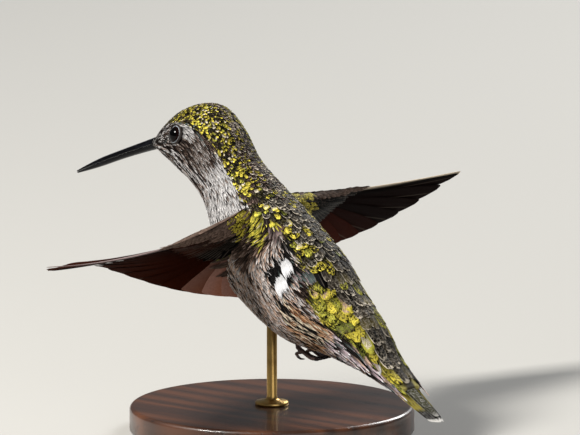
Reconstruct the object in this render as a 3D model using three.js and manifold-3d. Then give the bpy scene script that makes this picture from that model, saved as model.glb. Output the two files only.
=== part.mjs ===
// A female ruby-throated hummingbird hovering, life size, on a plain display stand.
// Millimetres, +Z up. The bird faces -Y and its left side is +X. The origin is the centre of the
// stand's underside. Every solid shows the outer form of the plumage.
import * as THREE from "three";
import { mergeVertices } from "three/addons/utils/BufferGeometryUtils.js";
import Module from "manifold-3d";

const wasm = await Module();
wasm.setup();

// ---- driving dimensions ---------------------------------------------------------------------

const GAP = 0.3; // clearance between neighbouring solids
const BODY_SIDES = 24;
const BASE_SIDES = 36;

const BASE = { radius: 22, height: 4, chamfer: 0.7 };
const ROD = { radius: 0.8, flangeRadius: 2.6, flangeHeight: 1.2, top: 20.5 };

// The shoulders' height and place over the stand; body sections below are given from here.
const SHOULDER_HEIGHT = 34;
const SHOULDER_BACK = 2.6;

// Sections of head, neck, trunk and rump, from the bill to the tail coverts.
// ahead and up place the section's centre from the shoulders; half is the half width,
// crown and keel are the heights above and below the centre.
const SECTIONS = [
  { ahead: 25.6, up: 8.4, half: 1.2, crown: 0.9, keel: 0.8 }, // bill root
  { ahead: 24.2, up: 8.8, half: 2.4, crown: 1.35, keel: 1.3 }, // lores
  { ahead: 22.2, up: 9.3, half: 3.85, crown: 2.8, keel: 2.9 }, // forehead
  { ahead: 19.5, up: 9.6, half: 5.0, crown: 5.2, keel: 4.3 }, // eyes
  { ahead: 16.5, up: 9.0, half: 5.6, crown: 7.4, keel: 5.0 }, // crown
  { ahead: 13.9, up: 7.1, half: 5.6, crown: 7.1, keel: 4.7 }, // hind head
  { ahead: 10.5, up: 4.2, half: 5.3, crown: 5.7, keel: 5.5 }, // neck
  { ahead: 7.0, up: 0.0, half: 6.0, crown: 6.8, keel: 7.4 }, // neck base
  { ahead: 3.0, up: -4.6, half: 6.9, crown: 8.1, keel: 9.8 }, // shoulders
  { ahead: -1.9, up: -9.5, half: 7.3, crown: 8.7, keel: 9.0 }, // breast
  { ahead: -6.3, up: -13.3, half: 7.0, crown: 8.5, keel: 7.4 }, // belly
  { ahead: -11.1, up: -15.9, half: 5.8, crown: 6.4, keel: 5.3 }, // vent
  { ahead: -15.8, up: -18.3, half: 4.7, crown: 4.5, keel: 4.2 }, // rump
  { ahead: -20.2, up: -21.7, half: 3.9, crown: 2.3, keel: 2.1 }, // tail coverts
  { ahead: -24.6, up: -24.6, half: 3.1, crown: 1.0, keel: 1.0 }, // covert tips
];
const TURN_REACH = 1.2; // a ring faces along the line between the sections this far off
// Where the body is parted, as section numbers.
const CUTS = { head: 5.6, neck: 7.3, trunk: 11.3 };

// The bill flares at its root, runs nearly parallel and tapers from the share "taper" on.
const BILL = {
  length: 16.8,
  droop: 21, // degrees below level
  rise: 0.2, // of the middle over a straight line
  upper: { rootHalf: 1.2, rootDepth: 0.95, half: 0.72, depth: 0.6 },
  lower: { rootHalf: 1.05, rootDepth: 0.85, half: 0.64, depth: 0.6 },
  flareCurve: 3,
  taper: 0.62,
  taperCurve: 1.6,
  point: 0.3,
  parting: 0.06, // from the line between the mandibles to each of them
};

// An eye sits at a section, so many degrees round from the crown, with its centre sunk below
// the surface.
const EYE = { radius: 1.6, section: 3.5, around: 71.5, sunk: 1.0 };

// The leading edge of a wing runs from the root to the tip, and the feathers fan from the hand.
// A feather's root, angle and length are powers of its place in the fan.
const WING = {
  root: { out: 6.3, ahead: 3.4 },
  reach: 45,
  bend: 0.4, // share of the reach where the leading edge sags most
  rootTwist: 10, // degrees from hanging straight down, trailing edge forward
  twistedBy: 0.6, // share of the span where the full twist is reached
  twistCurve: 2.3,
  thickness: 0.55,
  rootThickness: 0.72,
  camber: 0.07, // depth of the hollow for each length of chord
  camberChord: 12,
  primaries: 10,
  secondaries: 6,
  handSpan: 9.5, // from the wing's root to the root of the outermost primary
  handChord: 0.4, // from the leading edge to that root
  elbowChord: 4.9, // from the leading edge to the root of the innermost secondary
  chordCurve: 0.8,
  firstAngle: 0.4, // degrees between the leading edge and the outermost primary
  lastAngle: 84,
  angleCurve: 1.1,
  longest: 35.7, // outermost primary
  shortest: 10.6, // innermost secondary
  lengthCurve: 1.45,
  quillShare: 0.12, // of a feather's length, hidden under the coverts
  notch: 0.7, // between the tips of two feathers
};
const WING_SIDES = {
  left: { sign: 1, rootUp: 0.8, tipAhead: 4.8, tipUp: -1.4, tipTwist: 73, sag: 2.2 },
  right: { sign: -1, rootUp: 1.8, tipAhead: 5.5, tipUp: -0.5, tipTwist: 38, sag: 0.45 },
};
// The feathered arm starts inside the body and ends at the hand.
const ARM = {
  start: -3.4,
  end: 13,
  chord: 7.6,
  endChord: 2.6,
  thickness: 3.6,
  endThickness: 0.9,
  lead: 0.3, // of its front over the leading edge
};

const TAIL = {
  start: 11.9, // section number under the coverts
  tip: { ahead: -30.9, up: -28.85 },
  feathers: 10,
  rootHalf: 3.0,
  tipHalf: 1.3,
  taperCurve: 3,
  thickness: 0.9,
  rootThickness: 1.44,
  arch: 0.5, // of the middle over the sides
  tipArch: 0.15,
  edgeShare: 0.75, // of the thickness left at the sides
  notch: 0.35,
  round: 1.0, // by which the outer feathers are shorter
};

// A tucked foot. Each path lists [tailward, below the belly, aside] along a bone or toe.
const FOOT = {
  section: 10.35,
  around: 171,
  tarsus: 0.42,
  toe: 0.3,
  clawTip: 0.12,
  shank: [[-1.0, -0.6, 0], [-0.4, 0.5, 0], [0.5, 0.95, 0]],
  hindToe: [[0.4, 0.9, 0], [-0.2, 1.55, 0], [0.3, 2.0, 0], [1.1, 1.95, 0]],
  frontToe: [[0.3, 0.9, 0], [1.8, 1.35, 0.5], [2.95, 1.15, 0.8], [3.35, 0.7, 0.85]],
};

// ---- helpers --------------------------------------------------------------------------------

const rad = THREE.MathUtils.degToRad;
const lerp = THREE.MathUtils.lerp;
const clamp01 = (x) => THREE.MathUtils.clamp(x, 0, 1);
const X_AXIS = new THREE.Vector3(1, 0, 0);

/** A point given from the shoulders, in the part's frame. */
function fromShoulders(out, ahead, up) {
  return new THREE.Vector3(out, SHOULDER_BACK - ahead, SHOULDER_HEIGHT + up);
}

/** Geometry with only position left and its shared vertices merged, facing out. */
function closed(geometry) {
  const bare = geometry.clone();
  for (const name of ["normal", "uv"]) bare.deleteAttribute(name);
  const merged = mergeVertices(bare, 1e-4);
  if (signedVolume(merged) < 0) {
    const index = merged.index.array;
    for (let i = 0; i < index.length; i += 3) {
      [index[i + 1], index[i + 2]] = [index[i + 2], index[i + 1]];
    }
  }
  return merged;
}

function signedVolume(geometry) {
  const p = geometry.attributes.position;
  const [a, b, c] = [new THREE.Vector3(), new THREE.Vector3(), new THREE.Vector3()];
  let sum = 0;
  for (let i = 0; i < geometry.index.count; i += 3) {
    a.fromBufferAttribute(p, geometry.index.getX(i));
    b.fromBufferAttribute(p, geometry.index.getX(i + 1));
    c.fromBufferAttribute(p, geometry.index.getX(i + 2));
    sum += a.dot(b.cross(c)) / 6;
  }
  return sum;
}

/** Moves every vertex of a stock geometry to place(x, y, z), then closes it. */
function morph(geometry, place) {
  const p = geometry.attributes.position;
  for (let i = 0; i < p.count; i++) {
    const v = place(p.getX(i), p.getY(i), p.getZ(i));
    p.setXYZ(i, v.x, v.y, v.z);
  }
  return closed(geometry);
}

/** A capped unit cylinder with its rings placed by ring(t, around, share). */
function loft(sides, steps, ring) {
  const stock = new THREE.CylinderGeometry(1, 1, 1, sides, steps);
  return morph(stock, (x, y, z) => ring(y + 0.5, Math.atan2(x, z), Math.hypot(x, z)));
}

/** A thin panel from a unit box, placed by sheet(a, b, side), side being -0.5 or 0.5. */
function panel(across, along, sheet) {
  const stock = new THREE.BoxGeometry(1, 1, 1, across, along, 1);
  return morph(stock, (x, y, z) => sheet(x + 0.5, y + 0.5, z));
}

/** A round rod along a curve, with radius(t). */
function tube(curve, radius, sides, steps) {
  const frames = curve.computeFrenetFrames(steps, false);
  return loft(sides, steps, (t, around, share) => {
    const i = Math.round(t * steps);
    const r = radius(t) * share;
    return curve
      .getPointAt(t)
      .addScaledVector(frames.normals[i], r * Math.cos(around))
      .addScaledVector(frames.binormals[i], r * Math.sin(around));
  });
}

function toSolid(geometry) {
  return new wasm.Manifold(
    new wasm.Mesh({
      numProp: 3,
      vertProperties: new Float32Array(geometry.attributes.position.array),
      triVerts: new Uint32Array(geometry.index.array),
    }),
  );
}

function toGeometry(solid) {
  const mesh = solid.getMesh();
  const geometry = new THREE.BufferGeometry();
  geometry.setAttribute("position", new THREE.BufferAttribute(mesh.vertProperties, 3));
  geometry.setIndex(new THREE.BufferAttribute(mesh.triVerts, 1));
  return geometry;
}

/** The largest piece of a solid, without the slivers that a cut can leave. */
function mainPiece(solid) {
  return solid.decompose().reduce((a, b) => (a.volume() > b.volume() ? a : b));
}

function cutBy(geometry, ...tools) {
  const left = tools.reduce((s, tool) => s.subtract(toSolid(tool)), toSolid(geometry));
  return toGeometry(mainPiece(left));
}

function joined(...geometries) {
  return toGeometry(geometries.map(toSolid).reduce((a, b) => a.add(b)));
}

const bird = new THREE.Group();
bird.name = "ruby_throated_hummingbird";

function addNode(name, geometry, { color, roughness = 0.7, metalness = 0 }) {
  const material = new THREE.MeshStandardMaterial({ color, roughness, metalness });
  const shown = geometry.index ? geometry.toNonIndexed() : geometry;
  shown.computeVertexNormals();
  const mesh = new THREE.Mesh(shown, material);
  mesh.name = name;
  bird.add(mesh);
}

const FINISH = {
  plumage: { color: 0x6f7434, roughness: 0.6, metalness: 0.2 },
  flight: { color: 0x3b2f2b, roughness: 0.6 },
  bill: { color: 0x16161a, roughness: 0.35 },
  eye: { color: 0x0a0605, roughness: 0.05 },
  foot: { color: 0x3a2a25, roughness: 0.7 },
  wood: { color: 0x3a2418, roughness: 0.45 },
  brass: { color: 0xb08d4c, roughness: 0.3, metalness: 1 },
};

// ---- head, neck, trunk and rump -------------------------------------------------------------

const bodyLine = new THREE.CatmullRomCurve3(
  SECTIONS.map((s) => fromShoulders(0, s.ahead, s.up)),
  false,
  "catmullrom",
);
const bodyGirth = new THREE.CatmullRomCurve3(
  SECTIONS.map((s) => new THREE.Vector3(s.half, s.crown, s.keel)),
  false,
  "catmullrom",
);

const LAST_SECTION = SECTIONS.length - 1;
const SECTION_STEP = bodyLine.getLength() / LAST_SECTION;

/** Centre, tailward and dorsal directions and sizes of the body at a section number. */
function bodyFrame(section) {
  const centre = bodyLine.getPoint(section / LAST_SECTION);
  const ahead = bodyLine.getPoint(Math.max(0, section - TURN_REACH) / LAST_SECTION);
  const behind = bodyLine.getPoint(Math.min(LAST_SECTION, section + TURN_REACH) / LAST_SECTION);
  const tailward = behind.sub(ahead).normalize();
  const dorsal = new THREE.Vector3().crossVectors(X_AXIS, tailward);
  const girth = bodyGirth.getPoint(section / LAST_SECTION);
  return { centre, tailward, dorsal, half: girth.x, crown: girth.y, keel: girth.z };
}

/** A point of the body's surface: around is 0 at the back and 90 degrees on the left. */
function bodyPoint(section, around, share = 1, swell = 0) {
  const f = bodyFrame(section);
  const height = Math.cos(around) > 0 ? f.crown : f.keel;
  return f.centre
    .addScaledVector(X_AXIS, (f.half + swell) * Math.sin(around) * share)
    .addScaledVector(f.dorsal, (height + swell) * Math.cos(around) * share);
}

function bodyPiece(from, to, steps, swell = 0) {
  return loft(BODY_SIDES, steps, (t, around, share) =>
    bodyPoint(lerp(from, to, t), around, share, swell),
  );
}

/** Half a gap along the body, as a share of a section, at a cut. */
function halfGap(section) {
  const step = bodyLine.getPoint(section / LAST_SECTION);
  const next = bodyLine.getPoint((section + 0.1) / LAST_SECTION);
  return (0.1 * GAP) / 2 / step.distanceTo(next);
}

function eyeBall(sign, swell = 0) {
  const seat = bodyPoint(EYE.section, sign * rad(EYE.around));
  const inward = bodyFrame(EYE.section).centre.sub(seat).normalize();
  const centre = seat.addScaledVector(inward, EYE.sunk);
  const ball = new THREE.SphereGeometry(EYE.radius + swell, 16, 10);
  return closed(ball.translate(centre.x, centre.y, centre.z));
}

const rodSocket = closed(
  new THREE.CylinderGeometry(ROD.radius + GAP, ROD.radius + GAP, ROD.top + GAP, 16)
    .rotateX(Math.PI / 2)
    .translate(0, 0, (ROD.top + GAP) / 2),
);

function addBody() {
  const { head, neck, trunk } = CUTS;
  const skull = bodyPiece(0, head - halfGap(head), 14);
  addNode("head", cutBy(skull, eyeBall(1, GAP / 2), eyeBall(-1, GAP / 2)), FINISH.plumage);
  const collar = bodyPiece(head + halfGap(head), neck - halfGap(neck), 5);
  addNode("neck", collar, FINISH.plumage);
  const barrel = bodyPiece(neck + halfGap(neck), trunk - halfGap(trunk), 12);
  addNode("trunk", cutBy(barrel, rodSocket), FINISH.plumage);
  addNode("rump", bodyPiece(trunk + halfGap(trunk), LAST_SECTION, 9), FINISH.plumage);
  for (const [side, sign] of [["left", 1], ["right", -1]]) {
    addNode(`eye_${side}`, eyeBall(sign), FINISH.eye);
  }
}

// ---- bill -----------------------------------------------------------------------------------

/** One mandible: up is 1 for the upper and -1 for the lower. */
function mandible(size, up) {
  const forward = new THREE.Vector3(0, -Math.cos(rad(BILL.droop)), -Math.sin(rad(BILL.droop)));
  const above = new THREE.Vector3().crossVectors(X_AXIS, forward).negate();
  const root = bodyFrame(0).centre.addScaledVector(forward, GAP);
  return loft(16, 12, (t, around, share) => {
    const flare = Math.pow(1 - t, BILL.flareCurve);
    const beyond = clamp01((t - BILL.taper) / (1 - BILL.taper));
    const narrowing = lerp(1, BILL.point, Math.pow(beyond, BILL.taperCurve));
    const half = lerp(size.half, size.rootHalf, flare) * narrowing;
    const depth = lerp(size.depth, size.rootDepth, flare) * narrowing;
    const rise = Math.max(0, Math.cos(around)) * depth * share + BILL.parting;
    const arch = BILL.rise * Math.sin(Math.PI * t);
    return root
      .clone()
      .addScaledVector(forward, t * BILL.length)
      .addScaledVector(X_AXIS, half * Math.sin(around) * share)
      .addScaledVector(above, arch + up * rise);
  });
}

// ---- wings ----------------------------------------------------------------------------------

const FAN_LAST = WING.primaries + WING.secondaries - 1;

/** Root, angle and length of the feather at fan place k: 0 is the outermost primary. */
function featherAt(k) {
  const x = clamp01(k / FAN_LAST);
  return {
    rootSpan: lerp(WING.handSpan, 0, x),
    rootChord: lerp(WING.handChord, WING.elbowChord, Math.pow(x, WING.chordCurve)),
    angle: rad(lerp(WING.firstAngle, WING.lastAngle, Math.pow(x, WING.angleCurve))),
    length: lerp(WING.shortest, WING.longest, Math.pow(1 - x, WING.lengthCurve)),
  };
}

/** The leading edge of one wing as a curve. */
function leadingEdge({ sign, rootUp, tipAhead, tipUp, sag }) {
  const { root, reach, bend } = WING;
  const at = (t, drop) =>
    fromShoulders(
      sign * (root.out + reach * t),
      lerp(root.ahead, tipAhead, t),
      lerp(rootUp, tipUp, t) - drop,
    );
  return new THREE.QuadraticBezierCurve3(at(0, 0), at(bend, 2 * sag), at(1, 0));
}

/** Maps span, chord and height over the wing's plane to a point, for one wing. */
function wingMap(side) {
  const edge = leadingEdge(side);
  const length = edge.getLength();
  const outward = edge.getTangent(0);
  return (span, chord, height) => {
    const t = span / length;
    const origin =
      t < 0 ? edge.getPoint(0).addScaledVector(outward, span) : edge.getPointAt(clamp01(t));
    const along = edge.getTangentAt(clamp01(t));
    const turn = 1 - Math.pow(1 - clamp01(t / WING.twistedBy), WING.twistCurve);
    const twist = rad(lerp(WING.rootTwist, side.tipTwist, turn));
    const back = new THREE.Vector3(0, -Math.sin(twist), -Math.cos(twist));
    back.addScaledVector(along, -back.dot(along)).normalize();
    const dorsal = new THREE.Vector3().crossVectors(along, back).multiplyScalar(side.sign);
    const dip = (WING.camber * chord * Math.abs(chord)) / WING.camberChord;
    return origin.addScaledVector(back, chord).addScaledVector(dorsal, height - dip);
  };
}

/** The fan of flight feathers from place a to place b as one panel with a notched edge. */
function featherFan(side, a, b) {
  const place = wingMap(side);
  const across = Math.round(3 * (b - a));
  return panel(across, 5, (x, y, z) => {
    const k = lerp(a, b, x);
    const f = featherAt(k);
    const tip = f.length - WING.notch * Math.abs(Math.sin(Math.PI * k));
    const r = lerp(WING.quillShare * f.length, tip, y);
    const thick = lerp(WING.rootThickness, WING.thickness, y);
    return place(
      f.rootSpan + r * Math.cos(f.angle),
      f.rootChord + r * Math.sin(f.angle),
      z * thick,
    );
  });
}

/** The feathered upper arm, forearm and hand. */
function armForm(side, swell = 0) {
  const place = wingMap(side);
  return loft(14, 8, (t, around, share) => {
    const span = lerp(ARM.start, ARM.end + swell, t);
    const reach = lerp(ARM.chord, ARM.endChord, t) / 2;
    const thick = lerp(ARM.thickness, ARM.endThickness, t) / 2 + swell;
    return place(
      span,
      reach - ARM.lead + (reach + swell) * Math.sin(around) * share,
      thick * Math.cos(around) * share,
    );
  });
}

function addWings() {
  const breast = bodyPiece(CUTS.head - 0.6, CUTS.trunk, 16, GAP);
  const parting = WING.primaries - 0.5;
  for (const [name, side] of Object.entries(WING_SIDES)) {
    const armHole = armForm(side, GAP);
    addNode(`wing_${name}_arm`, cutBy(armForm(side), breast), FINISH.plumage);
    const hand = featherFan(side, -0.35, parting - 0.06);
    addNode(`wing_${name}_primaries`, cutBy(hand, armHole, breast), FINISH.flight);
    const forearm = featherFan(side, parting + 0.06, FAN_LAST + 0.3);
    addNode(`wing_${name}_secondaries`, cutBy(forearm, armHole, breast), FINISH.flight);
  }
}

// ---- tail -----------------------------------------------------------------------------------

function addTail() {
  const root = bodyFrame(TAIL.start);
  const tip = fromShoulders(0, TAIL.tip.ahead, TAIL.tip.up);
  const along = tip.clone().sub(root.centre);
  const length = along.length();
  along.normalize();
  const dorsal = new THREE.Vector3().crossVectors(X_AXIS, along);
  const fan = panel(3 * TAIL.feathers, 5, (x, y, z) => {
    const across = 2 * x - 1;
    const half = lerp(TAIL.rootHalf, TAIL.tipHalf, y ** TAIL.taperCurve);
    const notch = TAIL.notch * Math.abs(Math.cos(TAIL.feathers * Math.PI * x));
    const reach = length - notch - TAIL.round * across * across;
    const thick =
      lerp(TAIL.rootThickness, TAIL.thickness, y) * lerp(1, TAIL.edgeShare, across * across);
    return root.centre
      .clone()
      .addScaledVector(along, reach * y)
      .addScaledVector(X_AXIS, half * across)
      .addScaledVector(dorsal, z * thick - lerp(TAIL.arch, TAIL.tipArch, y) * across * across);
  });
  const coverts = bodyPiece(TAIL.start - 1, LAST_SECTION, 10, GAP);
  const slab = toSolid(fan).subtract(toSolid(coverts));
  addNode("tail", toGeometry(mainPiece(slab)), FINISH.flight);
}

// ---- feet -----------------------------------------------------------------------------------

/** A clenched foot, tucked against the belly: tarsus, three toes forward and one back. */
function foot(sign) {
  const along = (path, spread = 0) =>
    new THREE.CatmullRomCurve3(
      path.map(([back, down, aside]) =>
        bodyPoint(FOOT.section + back / SECTION_STEP, sign * rad(FOOT.around), 1, down).addScaledVector(
          X_AXIS,
          spread * aside,
        ),
      ),
    );
  const taper = (t) => lerp(FOOT.toe, FOOT.clawTip, Math.pow(t, 3));
  return joined(
    tube(along(FOOT.shank), () => FOOT.tarsus, 8, 5),
    tube(along(FOOT.hindToe), taper, 6, 6),
    ...[-1, 0, 1].map((spread) => tube(along(FOOT.frontToe, spread), taper, 6, 7)),
  );
}

function addFeet() {
  const belly = bodyPiece(CUTS.trunk - 2.5, LAST_SECTION, 14, GAP);
  for (const [side, sign] of [["left", 1], ["right", -1]]) {
    addNode(`foot_${side}`, cutBy(foot(sign), belly), FINISH.foot);
  }
}

// ---- stand ----------------------------------------------------------------------------------

/** A solid of revolution about Z from radius and height pairs that start and end on the axis. */
function turned(profile, sides) {
  const points = profile.map(([r, z]) => new THREE.Vector2(r, z));
  return closed(new THREE.LatheGeometry(points, sides).rotateX(Math.PI / 2));
}

function addStand() {
  const { radius, height, chamfer } = BASE;
  addNode(
    "stand_base",
    turned(
      [[0, 0], [radius, 0], [radius, height - chamfer], [radius - chamfer, height], [0, height]],
      BASE_SIDES,
    ),
    FINISH.wood,
  );
  const flangeTop = height + ROD.flangeHeight;
  addNode(
    "stand_rod",
    turned(
      [
        [0, height],
        [ROD.flangeRadius, height],
        [ROD.flangeRadius, height + ROD.flangeHeight / 2],
        [ROD.radius, flangeTop],
        [ROD.radius, ROD.top],
        [0, ROD.top],
      ],
      16,
    ),
    FINISH.brass,
  );
}

addBody();
addNode("bill_upper", mandible(BILL.upper, 1), FINISH.bill);
addNode("bill_lower", mandible(BILL.lower, -1), FINISH.bill);
addWings();
addTail();
addFeet();
addStand();

export default bird;
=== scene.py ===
"""Looks of a female ruby-throated hummingbird that hovers over its display stand, life size.

Forms are worked out in millimetres and made in metres. The bird faces -Y, its left side is +X and
+Z is up. A place on the body is a section number, 0 at the bill to 14 at the tip of the tail
coverts, and an angle around the body, 0 at the back and 90 degrees on the left side. A place on a
wing is a span from the shoulder and a chord from the leading edge.
"""

from __future__ import annotations

import logging
import math
from dataclasses import dataclass, field
from enum import Enum
from typing import Any, Callable, Sequence

import bmesh
import bpy
import numpy as np
from mathutils import Matrix, Vector
from mathutils.kdtree import KDTree


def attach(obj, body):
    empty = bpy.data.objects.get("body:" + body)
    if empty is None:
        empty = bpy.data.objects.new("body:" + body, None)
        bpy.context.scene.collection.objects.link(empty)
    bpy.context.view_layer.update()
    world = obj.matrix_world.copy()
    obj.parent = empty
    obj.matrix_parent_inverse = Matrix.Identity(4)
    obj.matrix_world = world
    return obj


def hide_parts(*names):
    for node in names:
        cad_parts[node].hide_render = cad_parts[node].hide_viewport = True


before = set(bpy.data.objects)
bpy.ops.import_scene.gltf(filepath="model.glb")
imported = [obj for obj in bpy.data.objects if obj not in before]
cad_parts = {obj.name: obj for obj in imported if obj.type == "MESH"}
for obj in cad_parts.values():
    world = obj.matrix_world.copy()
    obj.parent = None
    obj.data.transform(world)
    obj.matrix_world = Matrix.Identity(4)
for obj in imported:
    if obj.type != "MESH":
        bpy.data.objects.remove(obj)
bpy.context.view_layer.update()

Array = np.ndarray
BMesh = bmesh.types.BMesh
Generator = np.random.Generator
Colour = tuple[float, float, float]
Material = bpy.types.Material
Mesh = bpy.types.Mesh
Piece = bpy.types.Object
Pair = tuple[float, float]
Path = tuple[tuple[float, float, float], ...]
Placer = Callable[[Array, Array, Array], Array]
LOG = logging.getLogger("hummingbird")

MM = 0.001
BODY = "root"
SEED = 2311
X_AXIS = np.array([1.0, 0.0, 0.0])
SHOULDERS = np.array([0.0, 2.6, 34.0])  # middle of the shoulders over the stand


class Side(Enum):
    """A side of the bird; the value is the sign of X there."""

    LEFT = 1
    RIGHT = -1

    @property
    def word(self) -> str:
        """The side's name as the frame's nodes write it."""
        return self.name.lower()


# ---- small maths ----


def unit(v: Array) -> Array:
    """Vectors scaled to length 1."""
    return v / np.maximum(np.linalg.norm(v, axis=-1, keepdims=True), 1e-12)


def lerp(a: Any, b: Any, t: Any) -> Any:
    """The value a share t of the way from a to b, which may be tuples."""
    a, b = np.asarray(a), np.asarray(b)
    return a + (b - a) * t


def smooth(x: Any, low: float, high: float) -> Any:
    """0 below low, 1 above high and a smooth rise between them."""
    t = np.clip((x - low) / (high - low), 0.0, 1.0)
    return t * t * (3.0 - 2.0 * t)


def band(x: Any, low: Any, high: Any, soft: float) -> Any:
    """1 between low and high and 0 outside, with edges as wide as soft."""
    return smooth(x - low, -soft, soft) * (1.0 - smooth(x - high, -soft, soft))


def alike(*values: Any) -> list[Array]:
    """Values as arrays of numbers of one shape."""
    return np.broadcast_arrays(*(np.asarray(v, float) for v in values))


def spline(points: Array, place: Array) -> Array:
    """Points of a uniform Catmull-Rom curve.

    Args:
        points: the curve's control points, one row each.
        place: places along it, each control point being one whole number.

    Returns:
        One row for each place.
    """
    padded = np.vstack([2 * points[0] - points[1], points, 2 * points[-1] - points[-2]])
    place = np.clip(place, 0, len(points) - 1)
    i = np.minimum(place.astype(int), len(points) - 2)
    w = (place - i)[..., None]
    a, b, c, d = padded[i], padded[i + 1], padded[i + 2], padded[i + 3]
    return b + 0.5 * w * (c - a + w * (2 * a - 5 * b + 4 * c - d + w * (3 * (b - c) + d - a)))


def lengths_along(points: Array) -> Array:
    """How far along their path points lie, one row each."""
    return np.concatenate([[0], np.cumsum(np.linalg.norm(np.diff(points, axis=0), axis=1))])


def srgb(code: str) -> Colour:
    """A colour code such as "8a6f2c" as linear red, green and blue."""
    parts = [int(code[i : i + 2], 16) / 255 for i in (0, 2, 4)]
    r, g, b = (p / 12.92 if p <= 0.04045 else ((p + 0.055) / 1.055) ** 2.4 for p in parts)
    return (r, g, b)


def from_shoulders(out: Any, ahead: Any, up: Any) -> Array:
    """A point given from the shoulders, in the model's frame."""
    out, ahead, up = alike(out, ahead, up)
    return SHOULDERS + np.stack([out, -ahead, up], axis=-1)


# ---- outer forms ----


@dataclass(frozen=True)
class Section:
    """A ring of the body: its centre from the shoulders, half width and heights over the centre."""

    ahead: float
    up: float
    half: float
    crown: float
    keel: float


@dataclass(frozen=True)
class BodyForm:
    """The outer form of head, neck, trunk and rump as rings around a curved line."""

    sections: tuple[Section, ...] = (
        Section(25.6, 8.4, 1.2, 0.9, 0.8),  # bill root
        Section(24.2, 8.8, 2.4, 1.35, 1.3),  # lores
        Section(22.2, 9.3, 3.85, 2.8, 2.9),  # forehead
        Section(19.5, 9.6, 5.0, 5.2, 4.3),  # eyes
        Section(16.5, 9.0, 5.6, 7.4, 5.0),  # crown
        Section(13.9, 7.1, 5.6, 7.1, 4.7),  # hind head
        Section(10.5, 4.2, 5.3, 5.7, 5.5),  # neck
        Section(7.0, 0.0, 6.0, 6.8, 7.4),  # neck base
        Section(3.0, -4.6, 6.9, 8.1, 9.8),  # shoulders
        Section(-1.9, -9.5, 7.3, 8.7, 9.0),  # breast
        Section(-6.3, -13.3, 7.0, 8.5, 7.4),  # belly
        Section(-11.1, -15.9, 5.8, 6.4, 5.3),  # vent
        Section(-15.8, -18.3, 4.7, 4.5, 4.2),  # rump
        Section(-20.2, -21.7, 3.9, 2.3, 2.1),  # tail coverts
        Section(-24.6, -24.6, 3.1, 1.0, 1.0),  # covert tips
    )
    turn_reach: float = 1.2  # a ring faces along the line between the sections this far off it
    narrowing: float = 0.3  # of the girth for each section past the last
    step: float = 0.05  # sections and radians between points that slopes are measured with
    turn: float = 0.02

    @property
    def last(self) -> int:
        """The last section's number."""
        return len(self.sections) - 1

    @property
    def centres(self) -> Array:
        """The rings' centres."""
        return np.stack([from_shoulders(0, s.ahead, s.up) for s in self.sections])

    @property
    def girths(self) -> Array:
        """Half width, crown and keel of each ring."""
        return np.array([(s.half, s.crown, s.keel) for s in self.sections])

    def frame(self, section: Array) -> tuple[Array, Array, Array, Array]:
        """Centre, tailward direction, dorsal direction and girth at section numbers.

        Past the last section the body goes on straight and gets narrower.
        """
        centres = self.centres
        ahead = spline(centres, np.maximum(0, np.minimum(section, self.last) - self.turn_reach))
        behind = spline(centres, np.minimum(self.last, section + self.turn_reach))
        tailward = unit(behind - ahead)
        step = np.linalg.norm(centres[-1] - centres[-2])
        beyond = np.maximum(0, section - self.last)[..., None]
        centre = spline(centres, section) + tailward * beyond * step
        girth = spline(self.girths, section) * (1 - self.narrowing * np.minimum(beyond, 1.5))
        return centre, tailward, np.cross(X_AXIS, tailward), girth

    def centre(self, section: Any) -> Array:
        """Centres of the body at section numbers."""
        return self.frame(np.asarray(section, float))[0]

    def point(self, section: Any, around: Any, depth: Any = 0.0) -> Array:
        """Points at a depth under the outer form.

        Args:
            section: section numbers.
            around: angles in radians from the back towards the left side.
            depth: millimetres under the surface.

        Returns:
            One point for each place.
        """
        section, around, depth = alike(section, around, depth)
        centre, _, dorsal, girth = self.frame(section)
        cosine = np.cos(around)
        height = np.where(cosine > 0, girth[..., 1], girth[..., 2]) - depth
        width = girth[..., 0] - depth
        return (
            centre + X_AXIS * (width * np.sin(around))[..., None] + dorsal * (height * cosine)[..., None]
        )

    def stretch(self, section: Array, around: Array) -> tuple[Array, Array]:
        """Millimetres for one section and for one radian, at places of the surface."""
        step, turn = self.step, self.turn
        here = self.point(section, around)
        back = self.point(np.maximum(section - step, 0), around)
        ahead = self.point(section + step, around)
        length = step + np.minimum(section, step)
        along = np.linalg.norm(ahead - back, axis=-1) / length
        across = np.linalg.norm(self.point(section, around + turn) - here, axis=-1) / turn
        return along, np.maximum(across, 0.3)

    def normal(self, section: float, around: float) -> Array:
        """The outward direction at one place of the surface."""
        step, turn = self.step, self.turn
        tailward = self.point(section + step, around) - self.point(section - step, around)
        sideways = self.point(section, around + turn) - self.point(section, around - turn)
        return unit(np.cross(sideways, tailward))


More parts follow.
